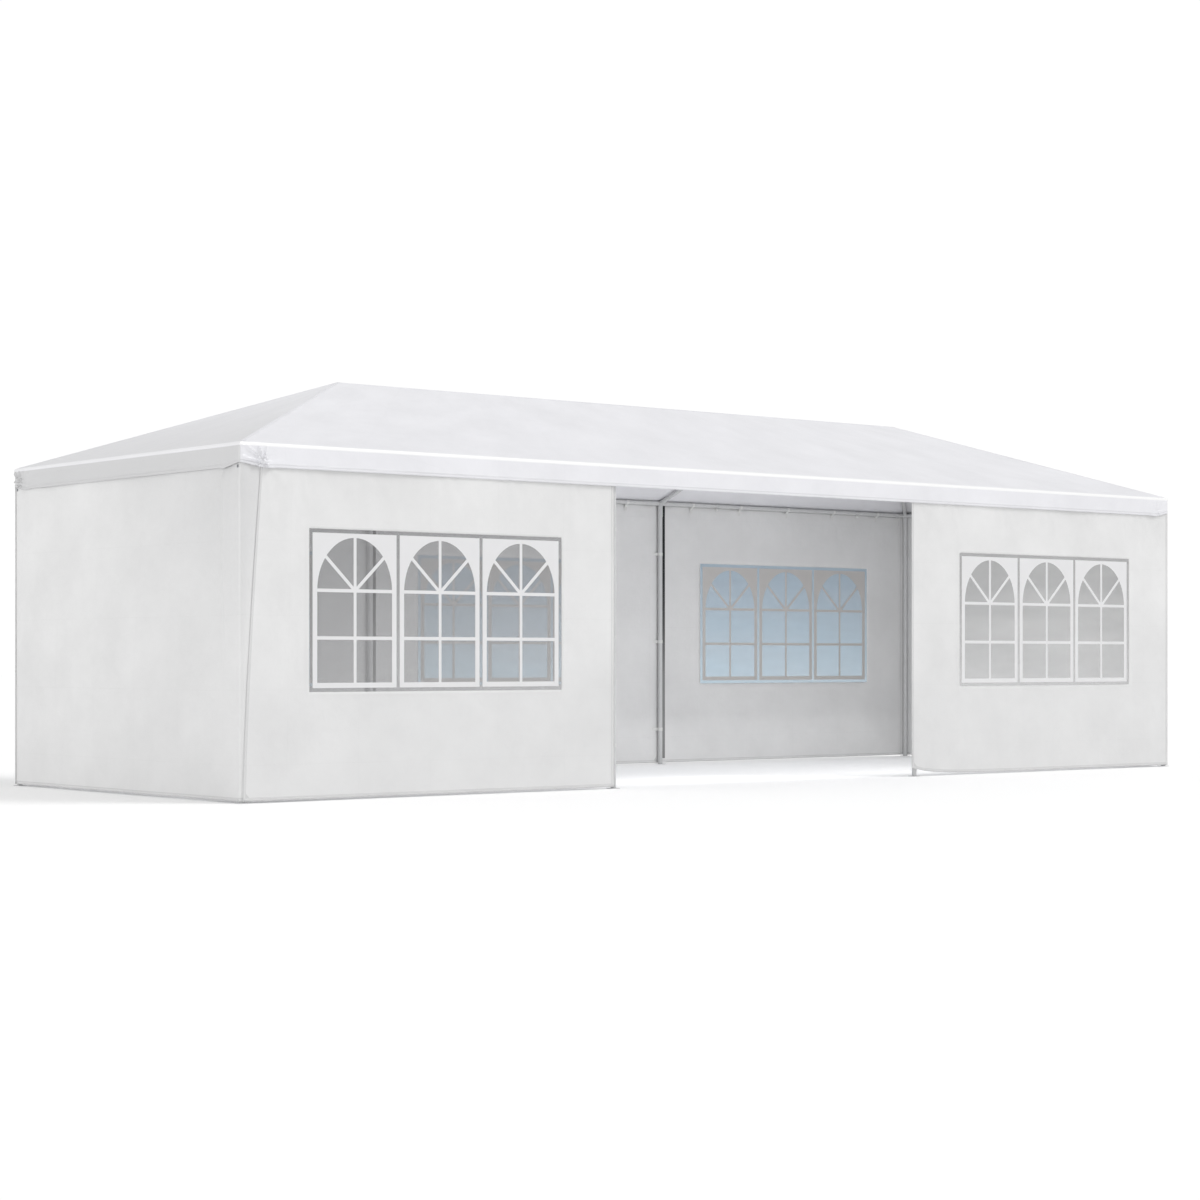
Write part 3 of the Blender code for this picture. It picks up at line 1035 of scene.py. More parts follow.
class WallPanel:
    """A windowed wall as a grid of points round its window."""

    def __init__(self, name, cloth):
        self.name = name
        self.cloth = cloth
        self.side = side_of(name)
        low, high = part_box(name)
        film_low, film_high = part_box(name.replace("wall", "window_film"))
        self.left, self.right = self.ends(low, high)
        self.bottom, self.top = low.z, high.z
        self.window = (*self.ends(film_low, film_high), film_low.z, film_high.z)
        if name == "wall_front_left":
            self.right = DOOR_LEFT
        if name == "wall_front_right":
            self.left = DOOR_RIGHT

    def ends(self, low, high):
        """The lowest and highest places along the wall's way."""
        way, _ = WAYS[self.side]
        return tuple(sorted((low.x * way.x, high.x * way.x)))

    def marks(self, start, stop, window_start, window_stop):
        """Places that the grid passes through: the hems' steps and the window with its welded band."""
        first, last = hem_marks(start, stop, self.cloth.hem_width)
        before = [window_start - BAND_WIDTH - HALF_STEP, window_start - BAND_WIDTH + HALF_STEP, window_start]
        after = [window_stop, window_stop + BAND_WIDTH - HALF_STEP, window_stop + BAND_WIDTH + HALF_STEP]
        return first + before + after + last

    def window_gap(self, across, height):
        """Distance outside the window's edge."""
        left, right, bottom, top = self.window
        aside = np.maximum(left - across, across - right)
        above = np.maximum(bottom - height, height - top)
        return np.hypot(np.maximum(aside, 0), np.maximum(above, 0))

    def off_window(self, across, height, reach, start=0.0):
        """Rises from 0 to 1 over a reach outside the window, from a start outside it."""
        return smooth((self.window_gap(across, height) - start) / reach)

    def waves(self, across, height):
        """How far the cloth moves out: free waves that end at the window, the rail and the legs."""
        legs = np.array([-LEG_X, -BAY_X, BAY_X, LEG_X])
        from_leg = np.abs(across[..., None] - legs).min(-1)
        free = smooth((from_leg - 0.02) / 0.22)
        hung = 0.25 + 0.75 * smooth((self.top - height) / 0.5)
        seed = float(sum(map(ord, self.name)) % 17)
        out = ripple(across * 1.3, height * 0.45, seed) + 0.3 * ripple(across * 3.8, height * 0.9, seed + 3)
        moved = self.cloth.wall_wave * out * self.off_window(across, height, 0.22, 0.02) * hung * free
        fine = LONG_WALL_RIPPLE * ripple(across * 9 + height * 5, height * 7 - across * 3, seed + 7)
        return moved + fine * self.off_window(across, height, 0.08) * smooth(from_leg / 0.08)

    def top_pulls(self, across, height):
        """Tension wrinkles that fan out from the wall's top corners."""
        down = self.top - 0.08 - height
        total = 0.0
        for corner in (self.left, self.right):
            sign = 1.0 if corner == self.left else -1.0
            from_corner = (across - corner) * sign - 0.05
            fan = puckers(from_corner, down, reach=0.20, folds=9, turn=0.6)
            total = total + fan * smooth((from_corner + 0.02) / 0.06)
        return CORNER_PULL * total * self.off_window(across, height, 0.08)

    def strap_folds(self, across, height):
        """Soft folds that fan out below each strap and end over the window."""
        down = self.top - height
        middle = round((self.window[0] + self.window[1]) / 2)
        total = 0.0
        for place in STRAP_PLACES:
            aside = across - middle - place
            spread = smooth(1.6 - 1.6 * np.abs(aside) / (down + 0.05))
            turn = 40.0 * place + middle
            total = total + spread * puckers(aside, down, reach=0.24, folds=13, turn=turn)
        return STRAP_PULL * total * self.off_window(across, height, 0.06)

    def drawn_edge(self, across, height, out):
        """The grid with the front left wall's edge slanted, or the front right wall's foot hitched up."""
        left, _, bottom, _ = self.window
        if self.name == "wall_front_left":
            share = np.clip((left - across) / (left - self.left), 0, 1)
            across = across + share * (slanted_edge(height) - self.left)
        if self.name == "wall_front_right":
            share = np.clip((bottom - height) / (bottom - self.bottom), 0, 1)
            hitch = np.exp(-(across - self.left) / 0.22)
            height = height + 0.055 * share * hitch
            out = out + 0.010 * share ** 2 * np.sin((across - self.left) * 26) * hitch
        return across, height, out

    def patch(self):
        """The wall's points, places in the flat cut and distances from the hem."""
        left, right, bottom, top = self.window
        columns = steps_through(self.marks(self.left, self.right, left, right), WALL_GRID)
        rows = steps_through(self.marks(self.bottom, self.top, bottom, top), WALL_GRID)[::-1]
        across, height = np.meshgrid(columns, rows)
        folds = self.waves(across, height) + self.top_pulls(across, height) + self.strap_folds(across, height)
        # Painted shade and highlight on the folds, and on the front walls more painted shade towards the
        # bottom
        painted_shade_and_highlight = fold_shade(folds, across, height)
        if self.side == "front":
            painted_shade_and_highlight = painted_shade_and_highlight + 0.24 * smooth((1.5 - height) / 1.2)
        cut = np.stack([across, height], -1)
        hem = hem_fields(across, height, self.left, self.right, self.top, self.bottom)
        band = BAND_LIFT * (1.0 - self.off_window(across, height, STEP, BAND_WIDTH - HALF_STEP))
        out = hem_profile(hem[..., 0], self.cloth) + band + folds

        middle_x = (columns[:-1] + columns[1:]) / 2
        middle_z = (rows[:-1] + rows[1:]) / 2
        hole_x = (middle_x > left) & (middle_x < right)
        hole_z = (middle_z > bottom) & (middle_z < top)
        across, height, out = self.drawn_edge(across, height, out)
        points = points_on(self.side, across, LEG_Y + WALL_OUT + out, height)
        hem = np.concatenate([hem, painted_shade_and_highlight[..., None]], -1)
        return points, cut, hem, ~(hole_x[None, :] & hole_z[:, None])


class MARQUEE_OT_long_walls(bpy.types.Operator):
    """Hang the windowed walls in front and behind"""

    bl_idname = "marquee.long_walls"
    bl_label = "Long walls"

    def execute(self, context):
        cloth = context.scene.marquee_cloth
        material = wall_material(cloth)
        for name in LONG_WALLS:
            panel = WallPanel(name, cloth)
            piece = add_piece(sheet_mesh(name + "_cloth", [panel.patch()]), material)
            thicken(piece, cloth.thickness)
            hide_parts(name)
            left, right, bottom, top = panel.window
            width, drop = panel.right - panel.left, panel.top - panel.bottom
            area = width * drop - (right - left) * (top - bottom)
        return {"FINISHED"}


def path_through(points, places):
    """Points of a smooth line through the given points, at places counted in points from the first."""
    points = np.array(points, float)
    padded = np.concatenate([2 * points[:1] - points[1:2], points, 2 * points[-1:] - points[-2:-1]])
    index = np.clip(places.astype(int), 0, len(points) - 2)
    t = (places - index)[:, None]
    a, b, c, d = (padded[index + k] for k in range(4))
    square = 2 * a - 5 * b + 4 * c - d
    cube = 3 * b - a - 3 * c + d
    return 0.5 * (2 * b + (c - a) * t + square * t ** 2 + cube * t ** 3)


def corner_wrap(reach, loose):
    """The end wall's way round a corner leg, from its flap to the flat wall, from the leg's middle.

    Each point is (in along the long wall, out from it); loose is 0 for a tight wrap and 1 for a full one.
    """
    flap = 0.0218
    tight = [(reach * share, flap) for share in (1.0, 0.8, 0.6, 0.4)]
    tight += [(0.008, flap), (-0.003, 0.0210), (-0.0146, 0.0150), (-0.0212, 0.002), (-0.0232, -0.02)]
    tight += [(-0.024, out) for out in (-0.06, -0.13, -0.20, -0.27)]
    edge = max(reach - 0.04, 0.02)
    full = [(reach, flap), (edge + 0.012, 0.0216), (edge - 0.006, 0.0236), (edge * 0.72, 0.0290)]
    full += [(edge * 0.40, 0.0310), (0.004, 0.0285), (-0.0190, 0.0150), (-0.0290, -0.015), (-0.0350, -0.060)]
    full += [(-0.0430, -0.110), (-0.0470, -0.160), (-0.0280, -0.195), (-0.0235, -0.27)]
    return [(a * (1 - loose) + c * loose, b * (1 - loose) + d * loose) for (a, b), (c, d) in zip(tight, full)]


class EndWall:
    """A plain end wall that wraps round its two corner legs."""

    # Points of the plan in each wrap and between the two wraps, and the steps that a row takes along them
    wrap_points, flat_points = 13, 7
    wrap_steps, flat_steps = 60, 80

    def __init__(self, name, cloth):
        self.cloth = cloth
        self.is_left = name.endswith("left")
        self.sign = -1.0 if self.is_left else 1.0
        low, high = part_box(name)
        self.bottom, self.top = low.z, high.z

    def wrap(self, reach, loose, side):
        """Plan points round the leg in front, where side is -1, or behind, where it is 1."""
        return [
            (self.sign * (LEG_X - inward), side * (LEG_Y + out)) for inward, out in corner_wrap(reach, loose)
        ]

    def row_path(self, height):
        """Plan points along one row, from the front flap to the back flap, as (x, y)."""
        front_reach, back_reach, loose = 0.06, 0.06, 0.0
        if self.is_left:
            edge = slanted_edge(height) + LEG_X
            front_reach = max(float(edge), 0.02) + 0.04
            loose = float(smooth((height - 0.75) / 0.6) * smooth((COVER_BOTTOM + 0.01 - height) / 0.09))
        flat = [(self.sign * (LEG_X + 0.024), y) for y in np.linspace(-1.10, 1.10, self.flat_points)]
        return self.wrap(front_reach, loose, -1) + flat + self.wrap(back_reach, 0.0, 1)[::-1]

    def plan_rows(self, rows):
        """Plan points of every row, and the distance along each row from its front flap."""
        last = self.wrap_points - 1
        beyond = last + self.flat_points + 1
        wrap = np.linspace(0, last, self.wrap_steps + 1)
        flat = np.linspace(last, beyond, self.flat_steps + 1)[1:-1]
        places = np.concatenate([wrap, flat, wrap + beyond])
        plan = np.array([path_through(self.row_path(height), places) for height in rows])
        step = np.hypot(*np.moveaxis(np.diff(plan, axis=1), -1, 0))
        return plan, np.concatenate([np.zeros((len(rows), 1)), np.cumsum(step, axis=1)], axis=1)

    def waves(self, along_y, height):
        """How far the cloth moves out: waves and ripples that end at the rail and the legs."""
        free = smooth((LEG_Y - 0.06 - np.abs(along_y)) / 0.3)
        hung = 0.3 + 0.7 * smooth((self.top - height) / 0.5)
        seed = 21.0 + self.sign
        wave = ripple(along_y * 1.5, height * 0.5, seed) + 0.3 * ripple(along_y * 4.2, height * 1.1, seed + 2)
        fine = ripple(along_y * 8 + height * 6, height * 7, seed + 5)
        return self.cloth.wall_wave * wave * free * hung + END_WALL_RIPPLE * free * fine

    def patch(self):
        """The wall's points, places in the flat cut and distances from the hem."""
        foot, head = hem_marks(self.bottom, self.top, self.cloth.hem_width)
        rows = steps_through(foot + head, WALL_GRID)[::-1]
        plan, across = self.plan_rows(rows)
        along_y = plan[..., 1]
        height = np.broadcast_to(rows[:, None], across.shape)
        folds = self.waves(along_y, height)
        out = folds + hem_profile(np.minimum(self.top - height, height - self.bottom), self.cloth)
        points = np.stack([plan[..., 0] + self.sign * out, along_y, height], -1)
        cut = np.stack([across, height], -1)
        hem = hem_fields(across, height, 0.0, across[:, -1:], self.top, self.bottom)
        # Painted shade and highlight on the folds, and on the left end wall more painted shade towards the
        # front, most of all high up
        painted_shade_and_highlight = fold_shade(folds, across, height)
        if self.is_left:
            forward = smooth((0.2 - along_y) / 1.4)
            painted_shade_and_highlight = painted_shade_and_highlight + 0.22 * smooth((0.8 - along_y) / 2.0) + 0.28 * forward * smooth((height - 1.1) / 0.9)
        hem = np.concatenate([hem, painted_shade_and_highlight[..., None]], -1)
        if self.is_left:
            points, cut, hem = points[:, ::-1], cut[:, ::-1], hem[:, ::-1]
        return points, cut, hem, np.ones((across.shape[0] - 1, across.shape[1] - 1), bool)


class MARQUEE_OT_end_walls(bpy.types.Operator):
    """Hang the plain end walls, wrapped round the corner legs"""

    bl_idname = "marquee.end_walls"
    bl_label = "End walls"

    def execute(self, context):
        cloth = context.scene.marquee_cloth
        material = wall_material(cloth)
        for name in END_WALLS:
            wall = EndWall(name, cloth)
            patch = wall.patch()
            piece = add_piece(sheet_mesh(name + "_cloth", [patch]), material)
            thicken(piece, cloth.thickness)
            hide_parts(name)
        return {"FINISHED"}


def fan_pane(start, stop, half_width, rise, bar):
    """The outline of one pane of the arched fan between two bars, from its centre, as (across, up) points."""
    directions = [Vector((math.cos(angle), math.sin(angle))) for angle in (start, stop)]
    sides = [Vector((-directions[0].y, directions[0].x)), Vector((directions[1].y, -directions[1].x))]
    bases = [side * bar / 2 for side in sides]
    turn = directions[0].x * directions[1].y - directions[0].y * directions[1].x
    gap = bases[1] - bases[0]
    reach = (gap.x * directions[1].y - gap.y * directions[1].x) / turn
    corner = bases[0] + directions[0] * reach
    ends = []
    for base, direction in zip(bases, directions):
        a = (direction.x / half_width) ** 2 + (direction.y / rise) ** 2
        b = 2 * (base.x * direction.x / half_width ** 2 + base.y * direction.y / rise ** 2)
        c = (base.x / half_width) ** 2 + (base.y / rise) ** 2 - 1
        at = base + direction * ((-b + math.sqrt(b * b - 4 * a * c)) / (2 * a))
        ends.append(math.atan2(at.y / rise, at.x / half_width))
    arc = [(half_width * math.cos(angle), rise * math.sin(angle)) for angle in np.linspace(*ends, 14)]
    return [tuple(corner), *arc]


def rectangle(left, right, bottom, top):
    return [(left, bottom), (right, bottom), (right, top), (left, top)]


def light_outlines(left, right, bottom, top, window):
    """Outlines of one printed light: its outer edge and its panes, the fan over two rows of two."""
    fan_angles = [math.radians(degrees) for degrees in (0, 44, 90, 136, 180)]
    lower_share = 0.485
    middle = (left + right) / 2
    half_width = (right - left) / 2 - window.side
    half_bar = window.bar / 2
    spring = top - window.head - window.rise
    foot = bottom + window.sill
    split = foot + (spring - foot) * lower_share
    outlines = [rectangle(left, right, bottom, top)]
    for start, stop in zip(fan_angles, fan_angles[1:]):
        pane = fan_pane(start, stop, half_width, window.rise, window.bar)
        outlines.append([(middle + x, spring + z) for x, z in pane])
    for low, high in ((foot, split - half_bar), (split + half_bar, spring - half_bar)):
        outlines.append(rectangle(middle - half_width, middle - half_bar, low, high))
        outlines.append(rectangle(middle + half_bar, middle + half_width, low, high))
    return outlines


def print_mesh(name, box, window):
    """The printed lights of one window, drawn out to their thickness; inner faces take a second, darker
    material as painted shade.
    """
    low, high = box
    curve = bpy.data.curves.new(name, "CURVE")
    curve.dimensions = "2D"
    curve.fill_mode = "BOTH"
    curve.extrude = window.thickness / 2
    width = (high.x - low.x - (window.units + 1) * window.margin) / window.units
    for unit in range(window.units):
        left = low.x + window.margin + unit * (width + window.margin)
        edges = (left, left + width, low.z + window.margin, high.z - window.margin)
        for outline in light_outlines(*edges, window):
            spline = curve.splines.new("POLY")
            spline.points.add(len(outline) - 1)
            for point, (x, z) in zip(spline.points, outline):
                point.co = (x, z, 0, 1)
            spline.use_cyclic_u = True
    drawn = bpy.data.objects.new(name + "_outline", curve)
    mesh = bpy.data.meshes.new_from_object(drawn)
    mesh.name = name
    bpy.data.objects.remove(drawn)
    bpy.data.curves.remove(curve)
    middle = (low.y + high.y) / 2
    mesh.transform(Matrix.Translation((0, middle, 0)) @ Matrix.Rotation(math.pi / 2, 4, "X"))
    weld = bmesh.new()
    weld.from_mesh(mesh)
    bmesh.ops.remove_doubles(weld, verts=weld.verts, dist=SHEET_MERGE)
    bmesh.ops.recalc_face_normals(weld, faces=weld.faces)
    for face in weld.faces:
        face.material_index = int(face.normal.y * middle < -0.5 * abs(middle))
    weld.to_mesh(mesh)
    weld.free()
    return mesh


def paint(node, material):
    """Gives a frame piece its material."""
    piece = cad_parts[node]
    if not piece.material_slots:
        piece.data.materials.append(material)
    for held in piece.material_slots:
        held.material = material


class MARQUEE_OT_windows(bpy.types.Operator):
    """Finish the window films and print the arched lights on them"""

    bl_idname = "marquee.windows"
    bl_label = "Windows"

    def execute(self, context):
        window = context.scene.marquee_window
        printed = print_material("window_print", window.print_colour)
        # A darker copy of the print for its inner faces, as painted shade
        inner = print_material("window_print_inner", window.inner_shaded_colour)
        # One film in three copies, whose tints and bodies are painted light: darker in front, paler at the
        # front's right, bluish behind
        films = {
            "front": film_material("film_front", window.front_shaded_tint, window.front_alpha),
            "front_right": film_material("film_front_right", window.front_right_lit_tint, window.bright_alpha),
            "back": film_material("film_back", window.back_skylit_tint, window.back_alpha),
        }
        for name in FILMS:
            place = name.replace("window_film_", "")
            paint(name, films.get(place) or films[place.split("_")[0]])
            mesh = print_mesh(name.replace("film", "lights"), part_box(name), window)
            add_piece(mesh, printed)
            mesh.materials.append(inner)
        return {"FINISHED"}


def turned(shape, profile, place, segments):
    """Adds a turned form to a bmesh: (radius, height) pairs spun about the place matrix's Z."""
    on_axis = 1e-7
    rings = []
    for radius, height in profile:
        if radius < on_axis:
            rings.append([shape.verts.new(place @ Vector((0, 0, height)))])
            continue
        ring = []
        for step in range(segments):
            angle = math.tau * step / segments
            point = Vector((radius * math.cos(angle), radius * math.sin(angle), height))
            ring.append(shape.verts.new(place @ point))
        rings.append(ring)
    for lower, upper in zip(rings, rings[1:]):
        for step in range(segments):
            after = (step + 1) % segments
            corners = [lower[step % len(lower)], lower[after % len(lower)]]
            corners += [upper[after % len(upper)], upper[step % len(upper)]]
            unique = list(dict.fromkeys(corners))
            if len(unique) > 2:
                shape.faces.new(unique)


def ring_form(shape, place, radius, thickness, segments=24, sides=8, flat=1.0):
    """Adds a ring of round or flattened section about the place matrix's Z."""
    angles = [math.tau * side / sides for side in range(sides + 1)]
    profile = [(radius + thickness * math.cos(a), thickness * flat * math.sin(a)) for a in angles]
    turned(shape, profile, place, segments)


def facing(place, direction):
    """A matrix at a place whose Z points in a direction."""
    return Matrix.Translation(place) @ direction.to_track_quat("Z", "Y").to_matrix().to_4x4()


def ribbon(shape, path, across, width, thickness):
    """Adds a flat strap to a bmesh: its path, the way across it, its width and thickness."""
    corners = ((-1, -1), (1, -1), (1, 1), (-1, 1))
    rings = []
    for index, point in enumerate(path):
        before = path[max(index - 1, 0)]
        after = path[min(index + 1, len(path) - 1)]
        normal = (after - before).cross(across).normalized()
        rings.append([
            shape.verts.new(point + across * side * width / 2 + normal * face * thickness / 2)
            for side, face in corners
        ])
    for lower, upper in zip(rings, rings[1:]):
        for side in range(4):
            after = (side + 1) % 4
            shape.faces.new([lower[side], lower[after], upper[after], upper[side]])
    shape.faces.new(rings[0][::-1])
    shape.faces.new(rings[-1])


def finish_form(shape, name):
    """Turns a bmesh into a smooth mesh with outward faces."""
    bmesh.ops.remove_doubles(shape, verts=shape.verts, dist=FITTING_MERGE)
    bmesh.ops.recalc_face_normals(shape, faces=shape.faces)
    mesh = bpy.data.meshes.new(name)
    shape.to_mesh(mesh)
    shape.free()
    mesh.shade_smooth()
    mesh.set_sharp_from_angle(angle=FITTING_SHARP)
    return mesh


def head_sockets():
    """Every socket of the welded heads: its head's middle, its direction and its outer radius."""
    leg = LEG_RADIUS + SOCKET_WALL
    rail = RAIL_RADIUS + SOCKET_WALL
    right, left = Vector((1, 0, 0)), Vector((-1, 0, 0))
    found = []
    for x in (-1, 1):
        inward = Vector((-x, 0, 0))
        peak = Vector((x * RIDGE_X, 0, RIDGE_Z))
        bay_peak = Vector((x * BAY_X, 0, RIDGE_Z))
        for y in (-1, 1):
            corner = Vector((x * LEG_X, y * LEG_Y, RAIL_Z))
            side = Vector((x * BAY_X, y * LEG_Y, RAIL_Z))
            found += [(corner, -UP, leg), (side, -UP, leg)]
            found += [(corner, inward, rail), (corner, Vector((0, -y, 0)), rail)]
            found += [(corner, (peak - corner).normalized(), rail)]
            found += [(peak, (corner - peak).normalized(), rail)]
            found += [(side, right, rail), (side, left, rail), (side, (bay_peak - side).normalized(), rail)]
            found += [(bay_peak, (side - bay_peak).normalized(), rail)]
        found += [(bay_peak, right, rail), (bay_peak, left, rail), (peak, inward, rail)]
    return found


class MARQUEE_OT_frame_paint(bpy.types.Operator):
    """Paint the tubes and heads, and add the heads' weld beads and spring buttons"""

    bl_idname = "marquee.frame_paint"
    bl_label = "Frame paint"

    def execute(self, context):
        fittings = context.scene.marquee_fittings
        coat = paint_material("frame_paint", fittings.paint)
        steel = plain_material("button_steel", (0.62, 0.63, 0.65), 0.28, metallic=1.0)
        for name in TUBES_AND_HEADS:
            paint(name, coat)

        # How far along a socket its weld bead and its button sit, from the head's middle
        bead_place, button_place = 0.0225, 0.085
        size = fittings.button_radius
        dome = [(size * math.cos(a), size * 0.8 * math.sin(a)) for a in np.linspace(0, math.pi / 2, 6)]
        button = [(0.0, -0.003), (size, -0.003), *dome]
        beads = bmesh.new()
        buttons = bmesh.new()
        for middle, way, radius in head_sockets():
            ring_form(beads, facing(middle + way * bead_place, way), radius + 0.0003, fittings.weld_radius)
            # A button faces down and towards the tent's middle, square to its socket
            downward = Vector((-middle.x * 0.1, -middle.y * 0.4, -1.0))
            aside = (downward - way * downward.dot(way)).normalized()
            place = middle + way * button_place + aside * (radius - 0.0002)
            turned(buttons, button, facing(place, aside), segments=14)
        add_piece(finish_form(beads, "weld_beads"), coat)
        add_piece(finish_form(buttons, "spring_buttons"), steel)
        return {"FINISHED"}


# Where a wall's straps start, out from the legs' line: just inside the wall's inner face
STRAP_OUT = WALL_OUT - 0.0016


def rail_loop(side, along):
    """A strap's path from a wall's inner face, over the eave rail and back, at a place along the side."""
    way, out = WAYS[side]
    line = LEG_X if side in ENDS else LEG_Y
    middle = way * along + out * line + UP * RAIL_Z
    radius = RAIL_RADIUS + 0.0022
    path = [middle + out * STRAP_OUT - UP * 0.050, middle + out * (STRAP_OUT - 0.0004) - UP * 0.018]
    for degrees in range(0, 285, 15):
        angle = math.radians(degrees)
        path.append(middle + out * radius * math.cos(angle) + UP * radius * math.sin(angle))
    path.append(middle + out * (STRAP_OUT - 0.0030) - UP * 0.034)
    path.append(middle + out * (STRAP_OUT - 0.0014) - UP * 0.070)
    return path


def leg_loop(side, along, height, open_side):
    """A strap's path from a wall's inner face round a leg; open_side is the way with no wall, or 0."""
    way, out = WAYS[side]
    middle = way * along + out * LEG_Y + UP * height
    radius = LEG_RADIUS + 0.0012
    end, near = 0.075, 0.045
    start_out, near_out = out * STRAP_OUT, out * (STRAP_OUT - 0.0004)
    path = [middle + way * end + start_out, middle + way * near + near_out]
    last = 262 if open_side else 205
    for degrees in range(-25, last + 1, 15):
        angle = math.radians(degrees)
        path.append(middle + way * radius * math.cos(angle) - out * radius * math.sin(angle))
    if open_side:
        return [mirrored(point, middle, way, -open_side) for point in path]
    return path + [middle - way * near + near_out, middle - way * end + start_out]


def mirrored(point, middle, way, sign):
    """A point kept, or mirrored across a middle along a way where sign is negative."""
    if sign > 0:
        return point
    return point - way * 2 * (point - middle).dot(way)


class MARQUEE_OT_straps(bpy.types.Operator):
    """Fasten the walls to the eave rails and the legs with straps, and add near-black strips at the back
    seams as painted shadow
    """

    bl_idname = "marquee.straps"
    bl_label = "Straps and seam shadow strips"

    def execute(self, context):
        fittings = context.scene.marquee_fittings
        webbing = webbing_material("webbing", fittings.webbing)
        strap = (fittings.strap_width, fittings.strap_thickness)
        for name in LONG_WALLS + END_WALLS:
            side = side_of(name)
            way, _ = WAYS[side]
            bay = round(middle_of(name).dot(way))
            straps = bmesh.new()
            for place in STRAP_PLACES:
                ribbon(straps, rail_loop(side, bay + place), way, *strap)
            add_piece(finish_form(straps, name + "_straps"), webbing)

        ties = bmesh.new()
        bay_legs = (("front", -BAY_X, 1), ("front", BAY_X, -1), ("back", -BAY_X, 0), ("back", BAY_X, 0))
        for side, along, open_side in bay_legs:
            for height in (0.30, 1.05, 1.80):
                ribbon(ties, leg_loop(side, along, height, open_side), UP, *strap)
        add_piece(finish_form(ties, "leg_straps"), webbing)
        self.add_seam_shadow_strips(fittings)
        return {"FINISHED"}

    def add_seam_shadow_strips(self, fittings):
        """Near-black strips on the inner face of the back walls, beside the legs of the open bay, as the
        painted shadow of the seams there.
        """
        width, thickness = 0.027, 0.0018
        from_leg, foot, head = 0.058, 0.05, WALL_TOP - 0.004
        # Painted shade: the strips are darkest above one height and fade to grey below another
        shadow_strip_finish = seam_shadow_strip_material("hook_tape", fittings.hook_tape, shadow_dark_above=1.75, shadow_faded_below=0.75)
        for name, x in (("left", -BAY_X + from_leg), ("right", BAY_X + from_leg)):
            tape = bmesh.new()
            face = Vector((x, LEG_Y + WALL_OUT - 0.0022, 0))
            path = [face + UP * height for height in np.linspace(foot, head, 40)]
            ribbon(tape, path, Vector((1, 0, 0)), width, thickness)
            add_piece(finish_form(tape, "hook_tape_back_" + name), shadow_strip_finish)


class MARQUEE_OT_ties(bpy.types.Operator):
    """Tie the cover down with elastic ball ties, and set the eyelets in its corners"""

    bl_idname = "marquee.ties"
    bl_label = "Ball ties and eyelets"

    def execute(self, context):
        fittings = context.scene.marquee_fittings
        self.tie_balls(fittings)
        self.set_eyelets(fittings)
        return {"FINISHED"}

    def tie_balls(self, fittings):
        """Elastic loops round the eave rails, two in each bay and end, each with its ball hanging inside."""
        plastic = plain_material("ball_plastic", (0.80, 0.80, 0.79), 0.34)
        rubber = plain_material("elastic", (0.70, 0.70, 0.70), 0.75, grain=900.0)
        radius = fittings.ball_radius
        elastic = fittings.elastic_radius
        around = RAIL_RADIUS + elastic + 0.0004
        sphere = [(radius * math.sin(a), -radius * math.cos(a)) for a in np.linspace(0, math.pi, 13)]
        balls = bmesh.new()
        loops = bmesh.new()
        for side, (way, out) in WAYS.items():
            is_end = side in ENDS
            line = LEG_X if is_end else LEG_Y
            hang = (-out * 0.35 - UP).normalized()
            for bay in (0.0,) if is_end else (-2 * BAY_X, 0.0, 2 * BAY_X):
                for place in (-0.86, 0.86):
                    middle = way * (bay + place) + out * line + UP * RAIL_Z
                    ring_form(loops, facing(middle, way), around, elastic, segments=28)
                    ball = facing(middle + hang * (around + radius + 0.001), hang)
                    turned(balls, sphere, ball, segments=24)
        add_piece(finish_form(balls, "tie_balls"), plastic)
        add_piece(finish_form(loops, "tie_elastics"), rubber)

    def set_eyelets(self, fittings):
        """An eyelet at each corner of the end valances, with a near-black disc in it as the painted shadow of
        its hole.
        """
        metal = plain_material("eyelet_metal", (0.42, 0.43, 0.45), 0.30, metallic=1.0)
        # A near-black disc as painted shadow in each eyelet's hole
        shadow = plain_material("eyelet_hole", (0.02, 0.02, 0.02), 0.8)
        edge = fittings.eyelet_radius
        hole_radius, hole_depth = edge * 0.52, 0.0008
        disc = [(0.0, -hole_depth), (hole_radius, -hole_depth), (hole_radius, 0.0), (0.0, 0.0)]
        eyelets = bmesh.new()
        hole_shadows = bmesh.new()
        for x in (-1, 1):
            for y in (-1, 1):
                place = Vector((x * (LEG_X + WALL_OUT + 0.0010), y * (COVER_Y - 0.040), COVER_BOTTOM + 0.002))
                front = facing(place, Vector((x, 0, 0)))
                ring_form(eyelets, front, edge * 0.72, edge * 0.28, segments=28, sides=10, flat=0.55)
                turned(hole_shadows, disc, front, segments=20)
        add_piece(finish_form(eyelets, "corner_eyelets"), metal)
        add_piece(finish_form(hole_shadows, "corner_eyelet_holes"), shadow)


def add_light(name, kind, place, way, energy):
    """A light of a kind at a place, shining along a way; the camera doesn't see it."""
    data = bpy.data.lights.new(name, kind)
    data.energy = energy
    light = bpy.data.objects.new(name, data)
    light.location = place
    light.rotation_euler = Vector(way).to_track_quat("-Z", "Y").to_euler()
    light.visible_camera = False
    bpy.context.scene.collection.objects.link(light)
    return data


